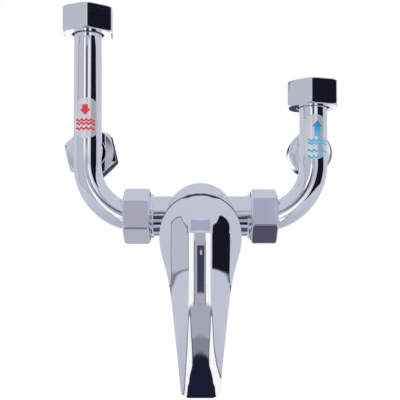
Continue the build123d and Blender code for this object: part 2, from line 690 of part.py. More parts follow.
lever_outside = lever_body(LEVER_STATIONS, 0.0)
lever_hollow = lever_body(LEVER_STATIONS[1:-1], LEVER_WALL)
low_up, _, low_half, _, _ = sized(LEVER_STATIONS[-2])
tip_up, _, tip_half, _, _ = sized(LEVER_STATIONS[-1])
tip_slope = (low_half - tip_half) / (low_up - tip_up)
tip_centre = tip_half + (tip_slope - 1) * TIP_ROUND
boss_end = SPINDLE_REACH + BOSS_CAP
screw_seat = SPINDLE_WIDTH / 2
screw_plane = Plane(origin=pivot + spindle_dir * SCREW_AT, x_dir=(1, 0, 0), z_dir=-along_spindle.y_dir)
with BuildPart() as lever_handle:
    add(lever_outside)
    add(lever_hollow, mode=Mode.SUBTRACT)
    with BuildSketch(ahead(0)):
        for side in (-1, 1):
            with Locations((side * (tip_centre + TIP_ROUND), tip_up)):
                Rectangle(2 * TIP_ROUND, 2 * TIP_ROUND)
            with Locations((side * tip_centre, tip_up + TIP_ROUND)):
                Circle(TIP_ROUND, mode=Mode.SUBTRACT)
    extrude(amount=PIVOT_FORWARD + LEVER_DEPTH, mode=Mode.SUBTRACT)
    with Locations(pivot):
        Sphere(bonnet_dome + CAVITY_GAP, mode=Mode.SUBTRACT)
    with BuildSketch(along_spindle.offset(BOSS_START)):
        Circle(BOSS_OD / 2)
    extrude(amount=boss_end - BOSS_START)
    with BuildSketch(screw_plane):
        Circle(LUG_OD / 2)
    extrude(amount=screw_seat + SCREW_LENGTH)
    with BuildSketch(screw_plane):
        Circle(SCREW_OD / 2)
    extrude(amount=screw_seat + SCREW_LENGTH, mode=Mode.SUBTRACT)
    with BuildSketch(along_spindle.offset(BOSS_START)):
        Rectangle(SPINDLE_WIDTH + 2 * SPINDLE_CLEARANCE, SPINDLE_WIDTH + 2 * SPINDLE_CLEARANCE)
    extrude(amount=SPINDLE_REACH + SPINDLE_CLEARANCE - BOSS_START, mode=Mode.SUBTRACT)
save(lever_handle.part, "lever_handle")

with BuildPart() as handle_screw:
    with BuildSketch(screw_plane.offset(screw_seat)):
        Circle(SCREW_OD / 2)
    extrude(amount=SCREW_LENGTH)
    with BuildSketch(screw_plane.offset(screw_seat + SCREW_LENGTH)):
        RegularPolygon(SCREW_KEY / 2, 6, major_radius=False)
    extrude(amount=-SCREW_LENGTH / 2, mode=Mode.SUBTRACT)
save(handle_screw.part, "handle_screw")

# Labels: thin film that follows the tube, with rounded ends
for name, side, low, high in (
    ("hot_label", -1, HOT_LABEL_BOTTOM, HOT_LABEL_TOP),
    ("cold_label", 1, COLD_LABEL_BOTTOM, COLD_LABEL_TOP),
):
    x = side * riser_x
    with BuildPart() as label:
        with BuildSketch(level(low, x)):
            Circle(tube_r + LABEL_THICKNESS)
            Circle(tube_r, mode=Mode.SUBTRACT)
        extrude(amount=high - low)
        with BuildSketch(ahead(0, x, arm_z + (low + high) / 2)):
            SlotOverall(high - low, LABEL_WIDTH, rotation=90)
        extrude(amount=TUBE_OD, mode=Mode.INTERSECT)
    save(label.part, name)
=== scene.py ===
"""Looks of the water heater mixer valve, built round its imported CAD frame.

Everything is in metres and in the frame of the CAD: +X is the cold side, -Y points at the user
and +Z is up. The wall's face is the plane y = 0.
"""

import json
import logging
import math
from dataclasses import astuple, dataclass, field, replace
from enum import Enum
from typing import Callable, Sequence

import bmesh
import bpy
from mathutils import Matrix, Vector


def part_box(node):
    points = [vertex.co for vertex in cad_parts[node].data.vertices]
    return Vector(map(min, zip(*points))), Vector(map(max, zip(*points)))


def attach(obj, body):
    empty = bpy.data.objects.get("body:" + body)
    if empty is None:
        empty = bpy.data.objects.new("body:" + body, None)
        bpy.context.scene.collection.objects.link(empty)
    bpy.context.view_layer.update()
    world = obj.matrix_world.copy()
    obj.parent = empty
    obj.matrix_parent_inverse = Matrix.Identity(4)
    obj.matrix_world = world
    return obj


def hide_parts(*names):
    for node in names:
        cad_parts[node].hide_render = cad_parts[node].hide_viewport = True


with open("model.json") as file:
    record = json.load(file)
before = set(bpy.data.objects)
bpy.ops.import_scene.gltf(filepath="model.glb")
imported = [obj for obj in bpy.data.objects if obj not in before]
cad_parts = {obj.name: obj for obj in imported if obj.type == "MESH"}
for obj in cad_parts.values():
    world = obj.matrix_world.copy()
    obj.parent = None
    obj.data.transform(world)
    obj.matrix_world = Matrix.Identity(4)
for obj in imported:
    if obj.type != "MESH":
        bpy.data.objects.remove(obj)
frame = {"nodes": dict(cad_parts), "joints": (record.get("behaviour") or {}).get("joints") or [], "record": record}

log = logging.getLogger("mixer_valve")
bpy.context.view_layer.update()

Outline = list[tuple[float, float]]
Ring = tuple[tuple[float, float], ...]
Corner = tuple[float, float, float]
Colour = tuple[float, float, float]
MICRON = 1e-6
FULL_TURN = 2 * math.pi
# Half the angle that one side of a hexagon takes up.
HALF_FLAT = math.radians(30)
THREAD_DEPTH = 0.00116
WHITE: Colour = (1.0, 1.0, 1.0)
RIGHT, FRONT, BACK = Vector((1, 0, 0)), Vector((0, -1, 0)), Vector((0, 1, 0))
UP, DOWN = Vector((0, 0, 1)), Vector((0, 0, -1))


class Slot(Enum):
    """The record's material slots."""

    CHROME = "polished_chrome"
    BRASS = "bare_brass"
    RUBBER = "washer_rubber"
    PLASTIC = "cartridge_plastic"
    CERAMIC = "ceramic"
    STEEL = "stainless_steel"
    FILM = "label_film"


class Body(Enum):
    """The CAD bodies that pieces ride on."""

    VALVE = "valve"
    LEVER = "lever"
    HOT_TOP = "hot_top_union"
    COLD_TOP = "cold_top_union"
    HOT_WALL = "hot_wall_union"


# Shader graphs


def operator(operation: str, swapped: bool = False) -> Callable[["Wire", "Wire | float"], "Wire"]:
    """Makes a method of Wire that takes two values.

    Args:
        operation: what its Math node does.
        swapped: whether the other value comes first.

    Returns:
        The method.
    """

    def apply(wire: "Wire", other: "Wire | float") -> "Wire":
        """Adds the Math node."""
        values = (other, wire) if swapped else (wire, other)
        return wire.computed(operation, *values)

    return apply


class Wire:
    """A shader socket that takes part in arithmetic: each operator adds its Math node."""

    __add__ = operator("ADD")
    __sub__ = operator("SUBTRACT")
    __rsub__ = operator("SUBTRACT", swapped=True)
    __mul__ = operator("MULTIPLY")
    __truediv__ = operator("DIVIDE")
    most = operator("MAXIMUM")

    def __init__(self, graph: "Graph", socket: bpy.types.NodeSocket) -> None:
        """Wraps a socket.

        Args:
            graph: the graph that the socket's node is in.
            socket: the output socket.
        """
        self.graph = graph
        self.socket = socket

    def computed(self, operation: str, *values: "Wire | float") -> "Wire":
        """Adds a Math node on these values."""
        return self.graph.node("ShaderNodeMath", {"operation": operation}, dict(enumerate(values)))

    def __abs__(self) -> "Wire":
        """Drops the sign."""
        return self.computed("ABSOLUTE", self)

    def sine(self) -> "Wire":
        """Sine of an angle in radians."""
        return self.computed("SINE", self)

    def ramp(self, start: float, end: float) -> "Wire":
        """Rises smoothly from 0 at start to 1 at end.

        Args:
            start: the value at which it begins to rise.
            end: the value at which it is whole. It may be less than start.

        Returns:
            The smooth mask.
        """
        settings = {"interpolation_type": "SMOOTHSTEP"}
        return self.graph.node("ShaderNodeMapRange", settings, {0: self, 1: start, 2: end})


class Graph:
    """A node tree that is built from expressions."""

    def __init__(self, tree: bpy.types.NodeTree) -> None:
        """Empties the tree.

        Args:
            tree: the material's or world's node tree.
        """
        self.tree = tree
        tree.nodes.clear()

    def node(self, kind: str, settings: dict | None = None, inputs: dict | None = None,
             output: int | str = 0) -> Wire:
        """Adds a node.

        Args:
            kind: the node's type.
            settings: properties to set first; "stops" fills a colour ramp.
            inputs: socket names or numbers, with a value or a wire each.
            output: the output socket that is handed back.

        Returns:
            The wire from that output.
        """
        made = self.tree.nodes.new(kind)
        for key, value in (settings or {}).items():
            if key == "stops":
                self._fill_ramp(made.color_ramp, value)
            else:
                setattr(made, key, value)
        for key, value in (inputs or {}).items():
            if isinstance(value, Wire):
                self.tree.links.new(value.socket, made.inputs[key])
            else:
                made.inputs[key].default_value = value
        outputs = made.outputs
        return Wire(self, outputs[output]) if len(outputs) else Wire(self, made.inputs[0])

    @staticmethod
    def _fill_ramp(ramp: bpy.types.ColorRamp, stops: Sequence[tuple[float, tuple]]) -> None:
        """Gives a colour ramp its stops."""
        while len(ramp.elements) < len(stops):
            ramp.elements.new(1.0)
        for element, (place, colour) in zip(ramp.elements, stops):
            element.position = place
            element.color = (*colour, 1.0)

    def place(self) -> Wire:
        """The point on the object, in the frame's axes at rest."""
        return self.node("ShaderNodeTexCoord", output="Object")

    def axes(self, point: Wire) -> tuple[Wire, Wire, Wire]:
        """Splits a point into its three coordinates."""
        split = self.node("ShaderNodeSeparateXYZ", inputs={0: point}).socket.node
        return tuple(Wire(self, split.outputs[i]) for i in range(3))

    def noise(self, point: Wire, scale: float, detail: float = 2.0, rough: float = 0.5) -> Wire:
        """Smooth noise about one half.

        Args:
            point: where it is read.
            scale: how many waves fit in a metre.
            detail: how many finer layers it has.
            rough: how strong they are.

        Returns:
            The noise value.
        """
        inputs = {"Vector": point, "Scale": scale, "Detail": detail, "Roughness": rough}
        return self.node("ShaderNodeTexNoise", inputs=inputs)

    def mix(self, share: Wire | float, low: Wire | tuple, high: Wire | tuple) -> Wire:
        """Mixes two colours.

        Args:
            share: 0 for the first colour and 1 for the second.
            low: the first colour.
            high: the second colour.

        Returns:
            The mixed colour.
        """
        made = self.node("ShaderNodeMix", {"data_type": "RGBA"}, {0: share}).socket.node
        for index, colour in ((6, low), (7, high)):
            if isinstance(colour, Wire):
                self.tree.links.new(colour.socket, made.inputs[index])
            else:
                made.inputs[index].default_value = (*colour, 1.0)
        return Wire(self, made.outputs[2])

    def surface(self, shader: Wire) -> None:
        """Makes a shader the material's surface."""
        self.node("ShaderNodeOutputMaterial", inputs={"Surface": shader})

    def bump(self, height: Wire, depth: float, strength: float = 1.0) -> Wire:
        """Turns a height into a normal.

        Args:
            height: the height, about 0 to 1.
            depth: how many metres 1 stands for.
            strength: the share of the effect.

        Returns:
            The normal.
        """
        inputs = {"Strength": strength, "Distance": depth, "Height": height}
        return self.node("ShaderNodeBump", inputs=inputs)


def new_material(name: str) -> tuple[bpy.types.Material, Graph]:
    """Makes a material with an empty graph."""
    made = bpy.data.materials.new(name)
    made.use_nodes = True
    return made, Graph(made.node_tree)


def new_object(name: str, data: bpy.types.ID) -> bpy.types.Object:
    """Puts an object with this data in the scene."""
    made = bpy.data.objects.new(name, data)
    bpy.context.scene.collection.objects.link(made)
    return made


# Finishes


@dataclass(frozen=True)
class Finish:
    """A surface finish. Each kind adds its own detail to the plain shader."""

    name: str
    colour: Colour = (0.8, 0.8, 0.8)
    roughness: float = 0.3
    metallic: float = 0.0
    coat: float = 0.0
    slot: Slot = Slot.CHROME

    def material(self) -> bpy.types.Material:
        """Makes the material.

        Returns:
            The finished material.
        """
        made, graph = new_material(self.name)
        inputs = {
            "Base Color": (*self.colour, 1.0),
            "Roughness": self.roughness,
            "Metallic": self.metallic,
            "Coat Weight": self.coat,
        }
        inputs.update(self.detail(graph))
        shader = graph.node("ShaderNodeBsdfPrincipled", inputs=inputs)
        graph.surface(shader)
        made.diffuse_color = (*self.colour, 1.0)
        return made

    def detail(self, graph: Graph) -> dict[str, Wire]:
        """What changes over the surface, by the shader's socket."""
        return {}


@dataclass(frozen=True)
class Chrome(Finish):
    """Mirror chrome plate over polished brass: faint waviness, thin haze and dried water marks."""

    colour: Colour = (0.93, 0.93, 0.955)
    roughness: float = 0.035
    metallic: float = 1.0
    haze: float = 0.03
    wave_scale: float = 55.0
    wave_depth: float = 0.00002
    spot_scale: float = 420.0

    def detail(self, graph: Graph) -> dict[str, Wire]:
        """Haze and water marks in the roughness, and a slow wave from polishing by hand."""
        place = graph.place()
        haze = graph.noise(place, 38.0, 3.0).ramp(0.45, 0.75)
        inputs = {"Vector": place, "Scale": self.spot_scale}
        cells = graph.node("ShaderNodeTexVoronoi", {"feature": "F1"}, inputs)
        spots = cells.ramp(0.16, 0.1) * graph.noise(place, 90.0).ramp(0.6, 0.7)
        rough = haze * self.haze + spots * self.haze + self.roughness
        waves = graph.noise(place, self.wave_scale, 1.0)
        tone = graph.mix(haze * 0.5, self.colour, tuple(0.97 * part for part in self.colour))
        normal = graph.bump(waves, self.wave_depth)
        return {"Base Color": tone, "Roughness": rough, "Normal": normal}


@dataclass(frozen=True)
class Turned(Finish):
    """Bare metal from the lathe: fine rings, dull patches and darker stains."""

    metallic: float = 1.0
    roughness: float = 0.28
    stain: Colour = (0.35, 0.22, 0.09)
    ring_scale: float = 2600.0

    def detail(self, graph: Graph) -> dict[str, Wire]:
        """Cutting lines along all three axes and stains in the low spots."""
        place = graph.place()
        x, y, z = graph.axes(place)
        lines = ((x + y + z) * self.ring_scale).sine() * 0.5 + 0.5
        stains = graph.noise(place, 160.0, 4.0).ramp(0.52, 0.75)
        tone = graph.mix(stains * 0.45, self.colour, self.stain)
        return {
            "Base Color": tone,
            "Roughness": stains * 0.2 + lines * 0.05 + self.roughness,
            "Normal": graph.bump(lines, 0.00001, 0.5),
        }


@dataclass(frozen=True)
class Moulded(Finish):
    """Moulded rubber or plastic: a fine grain and slight shade changes."""

    grain_scale: float = 1800.0
    grain_depth: float = 0.00002
    worn: Colour = (0.6, 0.6, 0.6)
    wear: float = 0.25

    def detail(self, graph: Graph) -> dict[str, Wire]:
        """Grain in the normal, and scuffed patches in colour and roughness."""
        place = graph.place()
        scuffs = graph.noise(place, 120.0, 4.0, 0.6).ramp(0.48, 0.78)
        grain = graph.noise(place, self.grain_scale, 2.0)
        return {
            "Base Color": graph.mix(scuffs * self.wear, self.colour, self.worn),
            "Roughness": scuffs * 0.12 + self.roughness,
            "Normal": graph.bump(grain, self.grain_depth),
        }


@dataclass(frozen=True)
class Film(Finish):
    """Silvery label film with a flow arrow and rows of wavy marks.

    middle is the label's centre line, arrow_tip and arrow_tail the arrow's heights, and rows the
    heights of the wavy marks.
    """

    ink: Colour = (0.8, 0.05, 0.05)
    ink_end: Colour = (0.8, 0.05, 0.05)
    middle: float = 0.0
    arrow_tip: float = 0.0
    arrow_tail: float = 0.0
    rows: tuple[float, ...] = ()
    arrow_half: float = 0.0027
    head: float = 0.0040
    row_half_width: float = 0.0062
    row_half_height: float = 0.00075
    wave_height: float = 0.00055
    wave_length: float = 0.0031
    head_flare: float = 1.4
    shaft_share: float = 0.72
    edge: float = 0.0001
    metallic: float = 0.6
    roughness: float = 0.28
    slot: Slot = Slot.FILM

    def detail(self, graph: Graph) -> dict[str, Wire]:
        """Ink where the marks are, on film with a soft haze."""
        place = graph.place()
        x, _, z = graph.axes(place)
        ink = self._arrow(x, z)
        for row in self.rows:
            ink = ink.most(self._wave(x, z, row))
        run = (z - self.arrow_tail) / (self.arrow_tip - self.arrow_tail)
        colour = graph.mix(run.ramp(0.0, 1.0), self.ink_end, self.ink)
        haze = graph.noise(place, 260.0, 3.0).ramp(0.4, 0.8)
        return {
            "Base Color": graph.mix(ink, self.colour, colour),
            "Roughness": haze * 0.1 + self.roughness,
            "Metallic": (1.0 - ink) * self.metallic,
        }

    def _arrow(self, x: Wire, z: Wire) -> Wire:
        """Mask of the arrow: a triangle on a narrower shaft."""
        sign = 1.0 if self.arrow_tip > self.arrow_tail else -1.0
        back = (self.arrow_tip - z) * sign
        across = abs(x - self.middle)
        length = abs(self.arrow_tip - self.arrow_tail)
        slope = self.arrow_half / self.head
        head = self._inside(back * slope * self.head_flare - across)
        head = head * self._inside(self.head - back)
        shaft = self._inside(self.arrow_half * self.shaft_share - across)
        shaft = shaft * (back - self.head + self.edge).ramp(0.0, self.edge)
        return head.most(shaft * self._inside(length - back))

    def _wave(self, x: Wire, z: Wire, row: float) -> Wire:
        """Mask of one wavy mark at a height."""
        swing = ((x - self.middle) * (FULL_TURN / self.wave_length)).sine() * self.wave_height
        inside = self._inside(self.row_half_height - abs(z - row - swing))
        return inside * self._inside(self.row_half_width - abs(x - self.middle))

    def _inside(self, depth: Wire) -> Wire:
        """Mask that is whole where a depth inside a mark's edge is more than 0."""
        return depth.ramp(-self.edge, self.edge)


# Shapes


@dataclass(frozen=True)
class Seat:
    """Where a turned piece starts, which way it runs and where its angles start."""

    origin: Vector
    along: Vector
    across: Vector

    def point(self, radius: float, angle: float, height: float) -> Vector:
        """A point by its radius, angle and height.

        Args:
            radius: distance from the axis.
            angle: in radians, from across.
            height: distance along the axis.

        Returns:
            The point in the frame's axes.
        """
        side = self.along.cross(self.across)
        out = self.across * math.cos(angle) + side * math.sin(angle)
        return self.origin + self.along * height + out * radius


def turns(steps: int) -> list[float]:
    """Angles of the steps of one full turn."""
    return [FULL_TURN * i / steps for i in range(steps)]


def rounded(corners: Sequence[Corner], steps: int = 4, closed: bool = False) -> Outline:
    """An outline of straight runs with round corners.

    Args:
        corners: (radius, height, rounding) of each corner.
        steps: how many runs make up a round corner.
        closed: whether the last corner joins the first.

    Returns:
        The outline's (radius, height) points.
    """
    points: Outline = []
    count = len(corners)
    for i, (r, h, rounding) in enumerate(corners):
        here = Vector((r, h))
        inner = closed or 0 < i < count - 1
        if rounding <= 0 or not inner:
            points.append((r, h))
            continue
        before = Vector(corners[i - 1][:2]) - here
        after = Vector(corners[(i + 1) % count][:2]) - here
        half = before.angle(after) / 2
        reach = min(rounding / math.tan(half), 0.46 * before.length, 0.46 * after.length)
        radius = reach * math.tan(half)
        start, end = before.normalized() * reach, after.normalized() * reach
        centre = (start + end).normalized() * (radius / math.sin(half))
        first, last = start - centre, end - centre
        turn = first.angle_signed(last)
        for k in range(steps + 1):
            angle = -turn * k / steps
            cosine, sine = math.cos(angle), math.sin(angle)
            spoke = Vector((first.x * cosine - first.y * sine, first.x * sine + first.y * cosine))
            point = here + centre + spoke
            points.append((point.x, point.y))
    return points


class Maker:
    """Turns grids of points into dressed pieces that ride on the CAD bodies."""

    def __init__(self) -> None:
        """Starts with no materials made."""
        self.materials: dict[str, bpy.types.Material] = {}

    def material(self, finish: Finish) -> bpy.types.Material:
        """The material of a finish, made once."""
        if finish.name not in self.materials:
            self.materials[finish.name] = finish.material()
        return self.materials[finish.name]

    def piece(self, name: str, grids: Sequence[list[list[Vector]]], body: Body, finish: Finish,
              replaces: Sequence[str] = (), around: bool = True,
              bevel: float = 0.0) -> bpy.types.Object:
        """Makes a piece from grids of points, each joined into a skin.

        Args:
            name: the piece's name.
            grids: rows of points; each row is a closed ring.
            body: the CAD body that it rides on.
            finish: its finish.
            replaces: the CAD nodes that it stands for.
            around: whether the last row joins the first.
            bevel: width of the round on its sharp edges.

        Returns:
            The piece.
        """
        mesh = bmesh.new()
        for rows in grids:
            made = [[mesh.verts.new(point) for point in row] for row in rows]
            for upper, lower in zip(made, made[1:] + (made[:1] if around else [])):
                for i in range(len(upper)):
                    k = (i + 1) % len(upper)
                    mesh.faces.new((upper[i], upper[k], lower[k], lower[i]))
        bmesh.ops.remove_doubles(mesh, verts=mesh.verts, dist=MICRON)
        bmesh.ops.recalc_face_normals(mesh, faces=mesh.faces)
        data = bpy.data.meshes.new(name)
        mesh.to_mesh(data)
        mesh.free()
        data.polygons.foreach_set("use_smooth", [True] * len(data.polygons))
        made = new_object(name, data)
        if bevel > 0:
            self._bevel(made, bevel)
        weighted = made.modifiers.new("even_shading", "WEIGHTED_NORMAL")
        weighted.weight = 100
        data.materials.append(self.material(finish))
        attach(made, body.value)
        if replaces:
            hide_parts(*replaces)
        log.info("%s: %d faces on %s", name, len(data.polygons), body.value)
        return made

    @staticmethod
    def _bevel(piece: bpy.types.Object, width: float) -> None:
        """Rounds a piece's sharp edges."""
        bevel = piece.modifiers.new("rounded_edges", "BEVEL")
        bevel.width = width
        bevel.segments = 3
        bevel.limit_method = "ANGLE"
        bevel.angle_limit = math.radians(35)

    def turned(self, name: str, seat: Seat, outline: Outline | Callable[[float], Outline],
               body: Body, finish: Finish, replaces: Sequence[str] = (),
               steps: int = 96) -> bpy.types.Object:
        """Makes a turned piece from its closed outline.

        Args:
            name: the piece's name.
            seat: its axis.
            outline: closed outline of (radius, height) points, or what gives it at an angle.
            body: the CAD body that it rides on.
            finish: its finish.
            replaces: the CAD nodes that it stands for.
            steps: how many steps go round it.

        Returns:
            The piece.
        """
        rows = []
        for angle in turns(steps):
            points = outline(angle) if callable(outline) else outline
            rows.append([seat.point(radius, angle, height) for radius, height in points])
        return self.piece(name, [rows], body, finish, replaces)

    def dress(self, node: str, finish: Finish) -> None:
        """Gives a CAD node a finish."""
        piece = frame["nodes"][node]
        piece.data.materials.clear()
        piece.data.materials.append(self.material(finish))


@dataclass(frozen=True)
class Thread:
    """Parallel pipe thread as a helix on a turned wall."""

    radius: float
    start: float
    end: float
    depth: float
    pitch: float = 0.001814
    run_out: float = 0.0012

    def wall(self, height: float, angle: float) -> float:
        """Radius of the wall: the thread's wave, fading at both ends.

        Args:
            height: distance along the axis.
            angle: angle round the axis.

        Returns:
            The radius. depth is positive where the thread is cut outwards and negative inwards.
        """
        phase = (height / self.pitch - angle / FULL_TURN) % 1.0
        wave = 0.5 - 0.5 * math.cos(FULL_TURN * phase)
        gap = min(height - self.start, self.end - height)
        fade = min(gap / self.run_out, 1.0)
        return self.radius + self.depth * wave * max(fade, 0.0)

    def corners(self, angle: float) -> list[Corner]:
        """The wall's corners at one angle, from start to end, ten to each turn of the thread."""
        count = round((self.end - self.start) / (self.pitch / 10))
        heights = [self.start + (self.end - self.start) * i / count for i in range(count + 1)]
        return [(self.wall(height, angle), height, 0.0) for height in heights]


@dataclass(frozen=True)
class UnionNut:
    """Hexagon union nut with turned-off corners and, where its mouth shows, a thread inside."""

    name: str
    body: Body
    seat: Seat
    turn: float
    threaded: bool
    flats: float = 0.0322
    length: float = 0.017
    hole: float = 0.0105
    end_wall: float = 0.003
    relief: float = 0.01265
    thread_start: float = 0.0082
    bore: float = 0.0120585
    corner_round: float = 0.0015
    turn_slope: float = math.radians(30)
    turn_depth: float = 0.0011
    edge_round: float = 0.00045
    mouth_edge: float = 0.0006
    flat_steps: int = 6
    corner_steps: int = 8

    def hexagon(self) -> list[tuple[float, float]]:
        """(angle, radius) points of the hexagon with round corners."""
        half = self.flats / 2
        centre = (half - self.corner_round) / math.cos(HALF_FLAT)
        flat_end = math.atan((half - self.corner_round) * math.tan(HALF_FLAT) / half)
        steps = self.flat_steps
        spots = [flat_end * (k / steps) for k in range(-steps, steps + 1)]
        points = []
        for side in range(6):
            middle = math.radians(60 * side) + self.turn + HALF_FLAT
            points += [(middle + at, half / math.cos(at)) for at in spots]
            for k in range(1, self.corner_steps):
                at = flat_end + (2 * HALF_FLAT - 2 * flat_end) * k / self.corner_steps
                off = HALF_FLAT - at
                reach = math.sqrt(self.corner_round**2 - (centre * math.sin(off)) ** 2)
                points.append((middle + at, centre * math.cos(off) + reach))
        return points

    def outline(self, radius: float, angle: float) -> Outline:
        """Closed outline at one angle: hexagon outside, hole, relief and bore inside."""
        outer = self.flats / 2 / math.cos(HALF_FLAT)
        start = outer - self.turn_depth / math.tan(self.turn_slope)
        edge = self.edge_round
        end_radius = min(radius - edge, start)
        drop = max(edge, (radius - start) * math.tan(self.turn_slope))
        top = self.length
        corners = [
            (self.hole, 0.0, edge),
            (end_radius, 0.0, edge),
            (radius, drop, edge),
            (radius, top - drop, edge),
            (end_radius, top, edge),
            (self.bore + self.mouth_edge, top, edge / 2),
        ]
        inside = [
            (self.relief, self.thread_start, 0.0),
            (self.relief, self.end_wall, 0.0),
            (self.hole, self.end_wall, 0.0),
        ]
        mouth = top - self.mouth_edge
        wall = [(self.bore, mouth, 0.0)]
        if self.threaded:
            wall = Thread(self.bore, self.thread_start, mouth, THREAD_DEPTH).corners(angle)[::-1]
        return rounded([*corners, *wall, *inside], closed=True)

    def build(self, maker: Maker, finish: Finish) -> None:
        """Makes the nut in place of its CAD node."""
        rows = [
            [self.seat.point(r, angle, h) for r, h in self.outline(radius, angle)]
            for angle, radius in self.hexagon()
        ]
        maker.piece(f"{self.name}_bright", [rows], self.body, finish, [self.name])


@dataclass(frozen=True)
class Riser:
    """Bent riser tube, with the bend's tight start at the valve body's nut."""

    side: int
    top: float
    arm: Vector
    centre_x: float = 0.075
    radius: float = 0.0092
    wall: float = 0.0011
    tip: float = 0.0447
    kink_start: float = 0.0473
    kink_radius: float = 0.012
    kink_angle: float = math.radians(20)
    steps: int = 72
    kink_steps: int = 12
    bend_steps: int = 72
    straight_steps: int = 6

    def route(self) -> list[tuple[Vector, Vector]]:
        """Points of the centre line with their directions."""
        lean = self.kink_angle
        kink_end = self.kink_start + self.kink_radius * math.sin(lean)
        rise = self.kink_radius * (1 - math.cos(lean))
        bend_radius = (self.centre_x - kink_end) / (1 - math.sin(lean))
        centre = (self.centre_x - bend_radius, rise + bend_radius * math.cos(lean))
        run = [(self.tip, 0.0, 0.0), (self.kink_start, 0.0, 0.0)]
        for k in range(1, self.kink_steps + 1):
            at = lean * k / self.kink_steps
            out = self.kink_start + self.kink_radius * math.sin(at)
            run.append((out, self.kink_radius * (1 - math.cos(at)), at))
        for k in range(1, self.bend_steps + 1):
            at = lean + (math.pi / 2 - lean) * k / self.bend_steps
            out, up = bend_radius * math.sin(at), bend_radius * math.cos(at)
            run.append((centre[0] + out, centre[1] - up, at))
        for k in range(1, self.straight_steps + 1):
            up = centre[1] + (self.top - centre[1]) * k / self.straight_steps
            run.append((self.centre_x, up, math.pi / 2))
        return [
            (
                self.arm + Vector((self.side * out, 0, up)),
                Vector((self.side * math.cos(at), 0, math.sin(at))),
            )
            for out, up, at in run
        ]

    def ring(self, middle: Vector, along: Vector, radius: float) -> list[Vector]:
        """Ring of the tube about a point of its centre line."""
        side = FRONT.cross(along)
        return [
            middle + FRONT * (radius * math.cos(angle)) + side * (radius * math.sin(angle))
            for angle in turns(self.steps)
        ]

    def build(self, maker: Maker, name: str, finish: Finish) -> None:
        """Makes the tube in place of its CAD node."""
        route = self.route()
        outside, inside = (
            [self.ring(point, along, radius) for point, along in route]
            for radius in (self.radius, self.radius - self.wall)
        )
        maker.piece(f"{name}_bright", [outside + inside[::-1]], Body.VALVE, finish, [name])


@dataclass(frozen=True)
class Station:
    """One level section of the lever: its height above the pivot and its outline."""

    up: float
    front: float
    half_width: float
    crown: float
    back: float

    @staticmethod
    def between(a: "Station", b: "Station", c: "Station", d: "Station", share: float) -> "Station":
        """A section between b and c on the smooth curve through all four."""
        values = []
        for p, q, r, s in zip(*map(astuple, (a, b, c, d))):
            low = (r - p) / (c.up - a.up) * (c.up - b.up)
            high = (s - q) / (d.up - b.up) * (c.up - b.up)
            t, u = share, share * share
            v = u * t
            start, end = (2 * v - 3 * u + 1) * q, (3 * u - 2 * v) * r
            values.append(start + (v - 2 * u + t) * low + end + (v - u) * high)
        return Station(*values)


